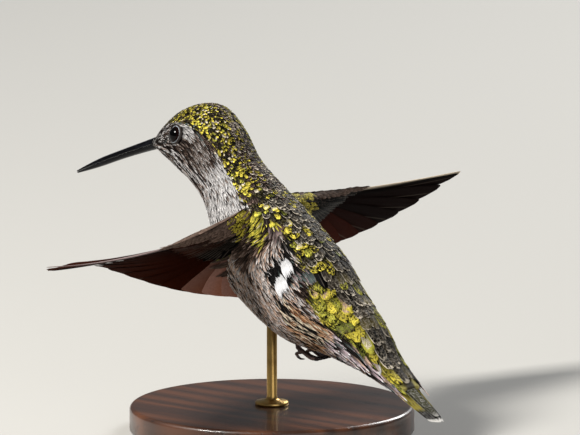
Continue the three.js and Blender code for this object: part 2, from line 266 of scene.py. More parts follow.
@dataclass(frozen=True)
class WingForm:
    """One wing: the leading edge, the twist of its plane, the feathered arm and the fan."""

    side: Side
    root_up: float
    tip_ahead: float
    tip_up: float
    tip_twist: float  # degrees from hanging straight down, trailing edge forward
    sag: float  # of the leading edge's middle

    root_out: float = 6.3
    root_ahead: float = 3.4
    reach: float = 45
    bend: float = 0.4
    edge_steps: int = 200
    root_twist: float = 10
    twisted_by: float = 0.6  # share of the span
    twist_curve: float = 2.3
    camber: float = 0.07
    camber_chord: float = 12

    primaries: int = 10
    secondaries: int = 6
    hand_span: float = 9.5  # the fan's roots, from the first primary to the last secondary
    fan_chord: Pair = (0.4, 4.9)
    chord_curve: float = 0.8
    fan_angle: Pair = (0.4, 84)
    angle_curve: float = 1.1
    fan_length: Pair = (10.6, 35.7)  # the shortest and the longest
    length_curve: float = 1.45

    arm_start: float = -3.4
    arm_end: float = 13
    arm_chord: Pair = (7.6, 2.6)
    arm_thickness: Pair = (3.6, 0.9)
    arm_lead: float = 0.3

    @property
    def fan_last(self) -> int:
        """The fan place of the innermost secondary."""
        return self.primaries + self.secondaries - 1

    def _edge(self) -> Array:
        """Start, control and end point of the leading edge."""

        def at(t: float, drop: float) -> Array:
            """The point at a share of the wing, lowered."""
            return from_shoulders(
                self.side.value * (self.root_out + self.reach * t),
                lerp(self.root_ahead, self.tip_ahead, t), lerp(self.root_up, self.tip_up, t) - drop,
            )

        return np.stack([at(0, 0), at(self.bend, 2 * self.sag), at(1, 0)])

    def _curve(self, t: Array) -> Array:
        """Points of the leading edge at curve parameters."""
        a, b, c = self._edge()
        return (1 - t) ** 2 * a + 2 * t * (1 - t) * b + t**2 * c

    def point(self, span: Any, chord: Any, height: Any) -> Array:
        """Points of the wing's space.

        Args:
            span: millimetres along the leading edge from the shoulder.
            chord: millimetres from the leading edge towards the trailing edge.
            height: millimetres above the plane on the upper side.

        Returns:
            One point for each place.
        """
        span, chord, height = alike(span, chord, height)
        a, b, c = self._edge()
        places = np.linspace(0, 1, self.edge_steps + 1)
        lengths = lengths_along(self._curve(places[:, None]))
        share = np.clip(span / lengths[-1], 0, 1)
        t = np.interp(share * lengths[-1], lengths, places)[..., None]
        outside = (span - np.clip(span, 0, lengths[-1]))[..., None]
        along = unit((1 - t) * (b - a) + t * (c - b))
        origin = self._curve(t) + along * outside
        turn = 1 - (1 - np.clip(share / self.twisted_by, 0, 1)) ** self.twist_curve
        twist = np.radians(lerp(self.root_twist, self.tip_twist, turn))
        back = np.stack([np.zeros_like(twist), -np.sin(twist), -np.cos(twist)], axis=-1)
        back = unit(back - along * (back * along).sum(-1, keepdims=True))
        upward = np.cross(along, back) * self.side.value
        dip = self.camber * chord * np.abs(chord) / self.camber_chord
        return origin + back * chord[..., None] + upward * (height - dip)[..., None]

    def feather(self, place: float) -> tuple[float, float, float, float]:
        """Root span, root chord, angle in radians and length at a place of the fan."""
        x = float(np.clip(place / self.fan_last, 0, 1))
        return (
            lerp(self.hand_span, 0, x), lerp(*self.fan_chord, x**self.chord_curve),
            math.radians(lerp(*self.fan_angle, x**self.angle_curve)),
            lerp(*self.fan_length, (1 - x) ** self.length_curve),
        )

    def tip_slope(self, k: int) -> float:
        """How much the trailing edge falls back for each millimetre across the feather at k."""
        tips = []
        for place in (max(k - 1, 0), min(k + 1, self.fan_last)):
            span, chord, angle, length = self.feather(place)
            tips.append((span + length * math.cos(angle), chord + length * math.sin(angle)))
        out, down = tips[1][0] - tips[0][0], tips[1][1] - tips[0][1]
        angle = self.feather(k)[2]
        along = out * math.cos(angle) + down * math.sin(angle)
        across = down * math.cos(angle) - out * math.sin(angle)
        return float(np.clip(along / max(across, 0.1), -1.2, 1.2))

    def arm_half(self, span: Any) -> tuple[Any, Any]:
        """Half chord and half thickness of the feathered arm at a span."""
        t = np.clip((span - self.arm_start) / (self.arm_end - self.arm_start), 0, 1)
        return lerp(*self.arm_chord, t) / 2, lerp(*self.arm_thickness, t) / 2

    def arm_height(self, span: Any, chord: Any, least: float) -> Any:
        """Height of the feathered arm's surface, or least where the arm is thinner."""
        half_chord, half_thick = self.arm_half(span)
        off = (chord - (half_chord - self.arm_lead)) / half_chord
        dome = half_thick * np.sqrt(np.clip(1 - off**2, 0, 1))
        dome = dome * (1 - smooth(span, self.arm_end, self.arm_end + 3))
        return np.sqrt(dome**2 + least**2)


BODY_FORM = BodyForm()
WINGS = (
    WingForm(Side.LEFT, root_up=0.8, tip_ahead=4.8, tip_up=-1.4, tip_twist=73, sag=2.2),
    WingForm(Side.RIGHT, root_up=1.8, tip_ahead=5.5, tip_up=-0.5, tip_twist=38, sag=0.45),
)


# ---- shader nodes ----


def operator(operation: str, swapped: bool = False) -> Callable[..., Value]:
    """An operator of Value that adds a Math node, with its two sides swapped for a reflected form."""

    def made(self: Value, other: Any = 0.0) -> Value:
        """Adds the node."""
        sides = (other, self) if swapped else (self, other)
        return self.shader.node("Math", {"operation": operation}, dict(enumerate(sides)))

    return made


@dataclass(frozen=True)
class Value:
    """An output of a material's node that Python arithmetic can be written with."""

    shader: Shader
    socket: bpy.types.NodeSocket

    __add__, __radd__ = operator("ADD"), operator("ADD", True)
    __sub__, __rsub__ = operator("SUBTRACT"), operator("SUBTRACT", True)
    __mul__, __rmul__ = operator("MULTIPLY"), operator("MULTIPLY", True)
    __pow__, __rpow__ = operator("POWER"), operator("POWER", True)
    __abs__, sine = operator("ABSOLUTE"), operator("SINE")
    at_most, at_least = operator("MINIMUM"), operator("MAXIMUM")

    def rise(self, low: float, high: float) -> Value:
        """0 below low, 1 above high and a smooth rise between them."""
        return self.shader.node(
            "MapRange", {"interpolation_type": "SMOOTHSTEP"},
            {"Value": self, "From Min": low, "From Max": high},
        )


class Shader:
    """Builds one material from nodes."""

    def __init__(self, name: str) -> None:
        """Starts an empty material."""
        self.material = bpy.data.materials.new(name)
        self.material.use_nodes = True
        self.tree = self.material.node_tree
        self.tree.nodes.clear()

    def node(
        self, kind: str, settings: dict[str, Any] | None = None,
        sockets: dict[str | int, Any] | None = None, output: str | int = 0,
    ) -> Value:
        """Adds a node.

        Args:
            kind: the node's type without "ShaderNode" in front.
            settings: its properties, such as a Math node's operation.
            sockets: values or links by socket name or number.
            output: the output that is wanted.

        Returns:
            The output, ready for arithmetic.
        """
        made = self.tree.nodes.new("ShaderNode" + kind)
        for name, value in (settings or {}).items():
            setattr(made, name, value)
        for name, value in (sockets or {}).items():
            if isinstance(value, Value):
                self.tree.links.new(value.socket, made.inputs[name])
            elif isinstance(value, tuple) and made.inputs[name].type == "RGBA":
                made.inputs[name].default_value = (*value, 1.0)
            else:
                made.inputs[name].default_value = value
        return Value(self, made.outputs[output])

    def mix(self, share: Any, a: Any, b: Any, blend: str = "MIX") -> Value:
        """Mixes two colours, share being how much of b shows."""
        return self.node(
            "Mix", {"data_type": "RGBA", "blend_type": blend, "clamp_factor": True},
            {0: share, 6: a, 7: b}, 2,
        )

    def shaded(self, colour: Value, grey: Value) -> Value:
        """A colour times a number."""
        factor = self.node("CombineColor", {}, {0: grey, 1: grey, 2: grey})
        return self.mix(1.0, colour, factor, "MULTIPLY")

    def attribute(self, name: str, output: str) -> Value:
        """An attribute that the mesh carries."""
        return self.node("Attribute", {"attribute_name": name}, {}, output)

    def parts(self, vector: Value) -> tuple[Value, Value, Value]:
        """The three numbers of a vector."""
        outputs = self.node("SeparateXYZ", {}, {0: vector}).socket.node.outputs
        return tuple(Value(self, outputs[i]) for i in range(3))

    def place(self, scale: Sequence[float] = (1, 1, 1), turn: Sequence[float] = (0, 0, 0)) -> Value:
        """Object coordinates, scaled and turned."""
        where = self.node("TexCoord", {}, {}, "Object")
        return self.node("Mapping", {}, {"Vector": where, "Rotation": turn, "Scale": scale})

    def noise(
        self, scale: float, detail: float = 2, rough: float = 0.5, vector: Value | None = None
    ) -> Value:
        """A soft random pattern around 0.5, of the object's own space if no vector is given."""
        sockets = {"Vector": vector or self.place(), "Scale": scale, "Detail": detail, "Roughness": rough}
        return self.node("TexNoise", {}, sockets)

    def bump(self, height: Value, depth: float) -> Value:
        """A normal bent by a height that is depth metres at 1."""
        return self.node("Bump", {}, {"Height": height, "Distance": depth, "Strength": 1.0}, "Normal")

    def finish(self, sockets: dict[str, Any]) -> Material:
        """Ends the material with one principled surface."""
        surface = self.node("BsdfPrincipled", {}, sockets)
        out = self.tree.nodes.new("ShaderNodeOutputMaterial")
        self.tree.links.new(surface.socket, out.inputs["Surface"])
        return self.material


# ---- finishes ----


@dataclass(frozen=True)
class Plumage:
    """Feathers whose colours, shaft and barbs come from attributes of their mesh.

    tint and rim colour a feather's middle and border. vane is the place across it from -1 to 1, the
    place along it from 0 to 1 and how metallic it is. weave is the share that the middle covers, the
    number of barbs and the feather's own seed.
    """

    name: str
    barb_depth: float = 0.4  # share by which the lines between barbs are darker
    barb_height: float = 0.02 * MM
    slant: float = 0.42  # barbs that a line from the shaft to the border passes, of all
    shaft: float = 0.05  # half width as a share of the feather's
    shaft_light: float = 0.15  # share of pale colour in it
    shaft_colour: Colour = srgb("cdbfae")
    # painted shade: how much darker a feather gets towards its root, where the feather over it shades it;
    # partly the downy root's own darker colour
    root_shade: float = 0.8
    root_end: float = 0.85  # share along the feather at which the painted shade of the root ends
    mottle: float = 0.9
    speckle: float = 0.85  # of iridescent feathers
    clump: float = 0.35  # share by which iridescent feathers are darker between clumps of barbs
    ragged: float = 0.22  # unevenness of the line between middle and border
    fine_grain: float = 7500  # scales of the random patterns
    soft_grain: float = 2300
    dot_grain: float = 3300
    roughness: float = 0.42
    metal: float = 0.8
    specular: float = 0.05

    def material(self) -> Material:
        """Builds the finish."""
        shader = Shader(self.name)
        across, along, sheen = shader.parts(shader.attribute("vane", "Vector"))
        reach, barbs, seed = shader.parts(shader.attribute("weave", "Vector"))
        tint = shader.attribute("tint", "Color")
        rim = shader.attribute("rim", "Color")
        off = abs(across)
        fine = shader.noise(self.fine_grain)
        soft = shader.noise(self.soft_grain)
        phase = (along * barbs - off * barbs * self.slant + seed) * math.tau
        barb = (phase + fine * 4.0).sine() * 0.5 + 0.5
        shining = (sheen * 3.5).at_most(1.0) * barbs.rise(3.5, 8)
        clump = (phase * 0.34 + soft * 7.0 + across * 2.5).sine() * 0.5 + 0.5
        gaps = (1.0 - clump) * shining * self.clump
        edge = (off**2.4).at_least(along.rise(0.55, 1.04)) + (fine - 0.5) * self.ragged
        border = (edge - reach).rise(-0.04, 0.1)
        grain = shader.noise(self.dot_grain, 3, 0.6)
        dots = sheen.at_least(shining) * self.speckle
        border = border.at_least(grain.rise(0.5, 0.57) * dots)
        colour = shader.mix(border, tint, rim)
        shaft = (1.0 - off.rise(self.shaft, self.shaft * 2.4)) * self.shaft_light
        colour = shader.mix(shaft, colour, self.shaft_colour)
        shade = 1.0 - (1.0 - barb) * self.barb_depth - gaps
        # painted shade towards each feather's root, partly the downy root's own darker colour
        shade = shade * (1.0 - (1.0 - along.rise(0.2, self.root_end)) * self.root_shade)
        shade = shade * (1.0 + (soft - 0.5) * self.mottle)
        height = barb * 0.6 + (1.0 - off.rise(self.shaft, self.shaft * 3.0)) * 0.8
        return shader.finish({
            "Base Color": shader.shaded(colour, shade), "Metallic": sheen * self.metal,
            "Roughness": self.roughness + (1.0 - barb) * 0.15, "Specular IOR Level": self.specular,
            "Normal": shader.bump(height, self.barb_height),
        })


@dataclass(frozen=True)
class Down:
    """The short dull down of the skin between the feathers."""

    dark: float = 0.5

    def material(self) -> Material:
        """Builds the finish."""
        shader = Shader("skin_down")
        tint = shader.attribute("tint", "Color")
        grain = shader.noise(3500, 3, 0.6)
        colour = shader.mix(self.dark, tint, srgb("1d1915"))
        return shader.finish({
            "Base Color": shader.shaded(colour, 0.6 + grain * 0.8), "Roughness": 0.8,
            "Normal": shader.bump(grain, 0.05 * MM),
        })


@dataclass(frozen=True)
class Horn:
    """Smooth dark horn of bill and claws with faint growth lines along it."""

    name: str
    base: Colour
    light: Colour
    streaks: float = 1400
    roughness: float = 0.24

    def material(self) -> Material:
        """Builds the finish."""
        shader = Shader(self.name)
        lines = shader.noise(self.streaks, vector=shader.place((1.0, 0.06, 1.0), (math.radians(-21), 0, 0)))
        fine = shader.noise(5200, 3)
        return shader.finish({
            "Base Color": shader.mix(lines.rise(0.45, 0.75), self.base, self.light),
            "Roughness": self.roughness + (fine - 0.5) * 0.18, "Specular IOR Level": 0.08,
            "Coat Weight": 0.12, "Coat Roughness": 0.12,
            "Normal": shader.bump(lines * 0.7 + fine * 0.3, 0.012 * MM),
        })


@dataclass(frozen=True)
class Iris:
    """A wet dark eye: black pupil, dark brown iris and a clear coat over both."""

    pupil: Colour = srgb("020202")
    iris: Colour = srgb("080303")
    fibre: Colour = srgb("150704")
    pupil_edge: float = 0.74  # share of the eye's radius

    def material(self) -> Material:
        """Builds the finish; the attribute "gaze" is 0 in front and 1 at the eye's rim."""
        shader = Shader("eye_wet")
        gaze = shader.attribute("gaze", "Fac")
        fibres = shader.noise(4200, 2)
        ring = gaze.rise(self.pupil_edge - 0.04, self.pupil_edge + 0.06)
        brown = shader.mix(fibres.rise(0.35, 0.7), self.iris, self.fibre)
        return shader.finish({
            "Base Color": shader.mix(ring, self.pupil, brown), "Roughness": 0.07, "IOR": 1.38,
            "Specular IOR Level": 0.12, "Coat Weight": 0.1, "Coat Roughness": 0.02,
        })


@dataclass(frozen=True)
class ScalySkin:
    """Dark horny skin of the feet, split into small plates."""

    base: Colour = srgb("2c1c18")
    light: Colour = srgb("5a4036")

    def material(self) -> Material:
        """Builds the finish."""
        shader = Shader("foot_scutes")
        cells = shader.node(
            "TexVoronoi", {"feature": "DISTANCE_TO_EDGE"}, {"Vector": shader.place(), "Scale": 3600}
        )
        grain = shader.noise(6000, 2)
        plate = cells.rise(0.02, 0.14)
        return shader.finish({
            "Base Color": shader.mix(plate * grain, self.base, self.light),
            "Roughness": 0.62 - plate * 0.15, "Normal": shader.bump(plate, 0.03 * MM),
        })


@dataclass(frozen=True)
class LidSkin:
    """Thin beaded skin of the eyelids, bluish white at their edge."""

    name: str
    base: Colour = srgb("a7b0b8")
    dark: Colour = srgb("4c5358")

    def material(self) -> Material:
        """Builds the finish."""
        shader = Shader(self.name)
        beads = shader.noise(5200, 3)
        return shader.finish({
            "Base Color": shader.mix(beads.rise(0.3, 0.6), self.dark, self.base), "Roughness": 0.5,
            "Normal": shader.bump(beads, 0.03 * MM),
        })


@dataclass(frozen=True)
class StainedWood:
    """Dark stained hardwood under satin lacquer."""

    dark: Colour = srgb("24120a")
    light: Colour = srgb("5c341c")

    def material(self) -> Material:
        """Builds the finish."""
        shader = Shader("stained_hardwood")
        long_way = shader.place((1.0, 0.09, 0.5))
        wander = shader.noise(60, 2, vector=shader.place((1.0, 0.25, 1.0)))
        rings = shader.node(
            "TexWave", {"wave_type": "BANDS", "bands_direction": "X"},
            {"Vector": long_way, "Scale": 60, "Distortion": 7, "Detail": 3, "Detail Scale": 2.2}, "Fac",
        )
        pores = shader.noise(2600, 3, 0.65, vector=long_way)
        colour = shader.mix(rings * 0.65 + wander * 0.35, self.dark, self.light)
        pore = pores.rise(0.56, 0.7)
        colour = shader.mix(pore * 0.65, colour, srgb("140a06"))
        return shader.finish({
            "Base Color": colour, "Roughness": 0.34 + wander * 0.14, "Coat Weight": 0.45,
            "Coat Roughness": 0.12, "Normal": shader.bump(rings * 0.2 - pore * 0.8, 0.03 * MM),
        })


@dataclass(frozen=True)
class BrushedBrass:
    """Brass with fine turning marks and a light tarnish."""

    bright: Colour = srgb("d9b26a")
    tarnish: Colour = srgb("8a6534")

    def material(self) -> Material:
        """Builds the finish."""
        shader = Shader("brushed_brass")
        rings = shader.noise(1500, 3, vector=shader.place((0.3, 0.3, 6.0)))
        patches = shader.noise(320, 3)
        return shader.finish({
            "Base Color": shader.mix(patches.rise(0.45, 0.8), self.bright, self.tarnish), "Metallic": 1.0,
            "Roughness": 0.2 + rings * 0.16 + patches * 0.1, "Normal": shader.bump(rings, 0.008 * MM),
        })


@dataclass(frozen=True)
class StudioFloor:
    """Plain pale matt floor."""

    colour: Colour = srgb("b4b3af")

    def material(self) -> Material:
        """Builds the finish."""
        shader = Shader("studio_floor")
        return shader.finish({"Base Color": self.colour, "Roughness": 0.85})


# ---- meshes ----


def to_object(bm: BMesh, name: str, material: Material) -> Piece:
    """Makes an object of a finished bmesh in millimetres.

    Args:
        bm: the mesh, freed afterwards.
        name: the piece's name.
        material: its only material.

    Returns:
        The object, in metres, at the origin.
    """
    bmesh.ops.scale(bm, vec=(MM, MM, MM), verts=bm.verts)
    mesh = bpy.data.meshes.new(name)
    bm.to_mesh(mesh)
    bm.free()
    return show(mesh, name, material)


def put(name: str, data: Any) -> Piece:
    """Puts an object in the scene that shows some data."""
    made = bpy.data.objects.new(name, data)
    bpy.context.scene.collection.objects.link(made)
    return made


def show(mesh: Mesh, name: str, material: Material) -> Piece:
    """Puts a mesh in the scene with smooth shading and one material."""
    mesh.materials.append(material)
    mesh.shade_smooth()
    return put(name, mesh)


def paint(mesh: Mesh, name: str, colours: Array) -> None:
    """Keeps a colour for each vertex as an attribute."""
    rows = np.ones((len(colours), 4), np.float32)
    rows[:, :3] = colours
    mesh.attributes.new(name, "FLOAT_COLOR", "POINT").data.foreach_set("color", rows.ravel())


def settle(piece: Piece, slot: str, nodes: Sequence[str] = ()) -> None:
    """Lets a piece ride on the body and stand for CAD nodes."""
    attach(piece, BODY)
    if nodes:
        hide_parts(*nodes)
    triangles = sum(len(p.vertices) - 2 for p in piece.data.polygons)
    LOG.info("%s: %d triangles", piece.name, triangles)


def capped_tube(sides: int, rings: int, place: Placer) -> BMesh:
    """A closed tube whose rings are placed by a function.

    Args:
        sides: vertices around.
        rings: steps along.
        place: gives points from the share along, the angle around and the share outwards.

    Returns:
        The mesh, in millimetres.
    """
    bm = bmesh.new()
    bmesh.ops.create_cone(bm, cap_ends=True, cap_tris=True, segments=sides, radius1=1, radius2=1, depth=1)
    long_edges = [e for e in bm.edges if abs(e.verts[0].co.z - e.verts[1].co.z) > 0.5]
    bmesh.ops.subdivide_edges(bm, edges=long_edges, cuts=rings - 1, use_grid_fill=True)
    stock = np.array([v.co[:] for v in bm.verts])
    share = np.hypot(stock[:, 0], stock[:, 1])
    moved = place(stock[:, 2] + 0.5, np.arctan2(stock[:, 0], stock[:, 1]), np.minimum(share, 1))
    for vert, co in zip(bm.verts, moved):
        vert.co = co
    bmesh.ops.recalc_face_normals(bm, faces=bm.faces)
    return bm


def rod_along(path: Array, radius: Callable[[Array], Array], sides: int, rings: int) -> BMesh:
    """A closed round rod along a smooth path, with a radius for each share of its length."""
    fine = spline(path, np.linspace(0, len(path) - 1, 200))
    length = lengths_along(fine)

    def at(far: Array) -> Array:
        """Points at distances along the path."""
        return np.stack([np.interp(far, length, fine[:, i]) for i in range(3)], axis=1)

    def place(t: Array, around: Array, share: Array) -> Array:
        """Points of the rod."""
        end = length[-1]
        far, step = t * end, 0.02 * end
        forward = unit(at(np.minimum(far + step, end)) - at(np.maximum(far - step, 0)))
        side = unit(np.cross(forward, X_AXIS + 0.2))
        above = np.cross(side, forward)
        r = (radius(t) * share)[:, None]
        return at(far) + side * r * np.cos(around)[:, None] + above * r * np.sin(around)[:, None]

    return capped_tube(sides, rings, place)


def joined(meshes: Sequence[BMesh]) -> BMesh:
    """One bmesh that holds several, which are freed."""
    whole = bmesh.new()
    for bm in meshes:
        part = bpy.data.meshes.new("part")
        bm.to_mesh(part)
        bm.free()
        whole.from_mesh(part)
        bpy.data.meshes.remove(part)
    return whole


class Outline(Enum):
    """Outlines of a vane: half width at its root, where it is widest, and the tip's roundness."""

    SCALE = (0.5, 0.66, 2.4, 0.5)
    LOOSE = (0.4, 0.55, 1.7, 0.7)
    LANCE = (0.4, 0.45, 1.2, 1.0)
    STRAP = (0.6, 0.93, 2.4, 0.5)

    def half(self, along: Array) -> Array:
        """Half width at shares along the vane, 1 where it is widest."""
        root, widest, power, blunt = self.value
        grown = root + (1 - root) * smooth(along, -widest * 0.5, widest)
        beyond = np.clip((along - widest) / (1 - widest), 0, 1)
        return grown * np.maximum((1 - beyond**power) ** blunt, 0.1)


@dataclass(frozen=True)
class Vane:
    """One kind of feather as a closed thin sheet that a coat repeats."""

    across: int  # cells across
    along: int  # cells along
    outline: Outline
    thickness: float = 0.05
    crown: float = 0.14  # height of the middle over the borders, as a share of the half width
    fray: float = 0.04  # of the tip, as a share of the length

    def sheet(self) -> tuple[Array, Array, Array]:
        """The vane's stock mesh.

        Returns:
            Rows of (across, along, face side) for the vertices, the quads' vertex numbers and 1
            for each upper quad or -1 for a lower one.
        """
        bm = bmesh.new()
        kind = bm.faces.layers.int.new("lower")
        bmesh.ops.create_grid(bm, x_segments=self.across, y_segments=self.along, size=1)
        copy = bmesh.ops.duplicate(bm, geom=bm.verts[:] + bm.edges[:] + bm.faces[:])["geom"]
        lower = [g for g in copy if isinstance(g, bmesh.types.BMFace)]
        bmesh.ops.reverse_faces(bm, faces=lower)
        for face in lower:
            face[kind] = 1
        for vert in bm.verts:
            if not vert.is_boundary:
                vert.co.z = -1 if vert.link_faces[0][kind] else 1
        bmesh.ops.remove_doubles(bm, verts=bm.verts, dist=1e-4)
        bm.verts.index_update()
        verts = np.array([v.co[:] for v in bm.verts])
        quads = np.array([[v.index for v in f.verts] for f in bm.faces])
        side = np.array([-1 if f[kind] else 1 for f in bm.faces])
        bm.free()
        verts[:, 1] = verts[:, 1] * 0.5 + 0.5
        return verts, quads, side


@dataclass
class Looks:
    """Colours and finish of some feathers: a row for each, or one value for all."""

    tint: Any  # colour of the middle, which may differ for each vertex of the stock vane
    rim: Any  # colour of the border
    sheen: Any  # how metallic
    reach: Any  # share of the vane that the middle covers


@dataclass
class Plumes:
    """Feathers of one piece, kept as arrays until they are joined to one mesh."""

    vane: Vane
    rng: Generator
    barb_step: float = 0.2  # millimetres between the lines that barbs draw
    patch: float = 0.003  # of the bake map, for each feather
    batches: list[dict[str, Array]] = field(default_factory=list)

    def __post_init__(self) -> None:
        """Makes the stock vane."""
        self.stock, self.quads, self.sides = self.vane.sheet()

    def add(self, place: Placer, length: Any, half: Any, looks: Looks, roots: Array) -> None:
        """Adds feathers.

        Args:
            place: gives each feather's points from millimetres across, along and above it.
            length: the feathers' lengths.
            half: their half widths.
            looks: their colours and finish.
            roots: their roots on the unwrap of the form that they grow on, one row each.
        """
        length = np.atleast_1d(length)
        half, sheen, reach = (np.broadcast_to(v, length.shape) for v in (half, looks.sheen, looks.reach))
        across, along, level = self.stock.T
        count, size = len(length), len(along)
        eased = 1 - (1 - along) ** 1.35
        fray = self.rng.normal(0, self.vane.fray, (count, size)) * smooth(along, 0.55, 1.0)
        x = across * half[:, None] * self.vane.outline.half(eased)
        y = length[:, None] * np.clip(eased * (1 + fray), 0, 1.03)
        lift = self.vane.crown * half[:, None] * (1 - across**2)
        z = lift + level * self.vane.thickness * (1 - 0.5 * along)
        vane = np.empty((count, size, 3))
        vane[..., 0], vane[..., 1], vane[..., 2] = across, along, sheen[:, None]
        weave = np.stack([reach, length / self.barb_step, self.rng.random(count)], axis=1)
        batch = {"points": place(x, y, z), "vane": vane, "roots": roots}
        for name, values in (("weave", weave), ("tint", looks.tint), ("rim", looks.rim)):
            values = np.asarray(values)
            values = values[:, None] if values.ndim == 2 else values
            batch[name] = np.broadcast_to(values, (count, size, 3))
        self.batches.append(batch)

    def _bake_places(self, roots: Array) -> Array:
        """A patch of the bake map for each feather, upper and lower side next to each other."""
        low, high = roots.min(0), roots.max(0)
        places = 0.005 + 0.985 * (roots - low) / np.maximum(high - low, 1e-6)
        corners = self.stock[self.quads]
        u = (corners[..., 0] * 0.5 + 0.5) * self.patch * 0.48
        u = u + (self.sides[:, None] < 0) * self.patch * 0.52
        spots = np.stack([u, corners[..., 1] * self.patch], axis=-1)
        return (places[:, None, None, :] + spots[None]).reshape(-1, 2)

    def _sharpen(self, mesh: Mesh, count: int) -> None:
        """Keeps the two sides of each vane from being shaded as one round form."""
        rim = np.tile(np.abs(self.stock[:, 2]) < 0.5, count)
        ends = np.empty(len(mesh.edges) * 2, np.int32)
        mesh.edges.foreach_get("vertices", ends)
        sharp = rim[ends].reshape(-1, 2).all(axis=1)
        mesh.attributes.new("sharp_edge", "BOOLEAN", "EDGE").data.foreach_set("value", sharp)

    def piece(self, name: str, material: Material) -> Piece:
        """Joins all feathers to one object with its attributes and bake map."""
        merged = {key: np.concatenate([b[key] for b in self.batches]) for key in self.batches[0]}
        count, size = merged["points"].shape[:2]
        starts = np.arange(count)[:, None, None] * size
        quads = (self.quads[None] + starts).reshape(-1, 4)
        mesh = bpy.data.meshes.new(name)
        mesh.vertices.add(count * size)
        mesh.vertices.foreach_set("co", (merged["points"] * MM).astype(np.float32).ravel())
        mesh.loops.add(quads.size)
        mesh.loops.foreach_set("vertex_index", quads.astype(np.int32).ravel())
        mesh.polygons.add(len(quads))
        mesh.polygons.foreach_set("loop_start", np.arange(len(quads), dtype=np.int32) * 4)
        mesh.update(calc_edges=True)
        places = self._bake_places(merged["roots"]).astype(np.float32)
        mesh.uv_layers.new(name="OFBake").data.foreach_set("uv", places.ravel())
        for key in ("tint", "rim"):
            paint(mesh, key, merged[key].reshape(-1, 3))
        for key in ("vane", "weave"):
            made = mesh.attributes.new(key, "FLOAT_VECTOR", "POINT")
            made.data.foreach_set("vector", merged[key].astype(np.float32).ravel())
        shown = show(mesh, name, material)
        self._sharpen(mesh, count)
        return shown


# ---- markings ----

# GOLD, LIME and CREAM are partly the golden green of the iridescent feathers and partly painted highlight
# where sunlight glints off them; CREAM is also the vent's own pale colour
GOLD = srgb("ffec5c")
GREEN = srgb("8a8f3c")
LIME = srgb("cfcb52")
CREAM = srgb("f8ecd0")
OLIVE = srgb("100f06")
BACK = srgb("14120e")
FRINGE = srgb("ece0cc")
SLATE = srgb("3a342c")
MANTLE = srgb("5c483d")
HUSK = srgb("635a3a")
BROWN = srgb("1c110e")
ASH = srgb("8c7d74")
SILVER = srgb("dedbda")
WHITE = srgb("fafafc")
DRAB = srgb("a38c80")
UMBER = srgb("382a23")
BUFF = srgb("c99a70")
RUSSET = srgb("854a2a")
SAND = srgb("dcbaa4")
DOVE = srgb("c6b6ad")
LILAC = srgb("d2bcc4")
TEAL = srgb("62706f")
MAUVE = srgb("82706e")
INK = srgb("07070a")


@dataclass(frozen=True)
class Tone:
    """One look among those of a zone."""

    share: float  # of the zone's feathers
    middle: Colour
    border: Colour
    reach: float = 0.8  # share of the vane that the middle covers
    metal: float = 0.0


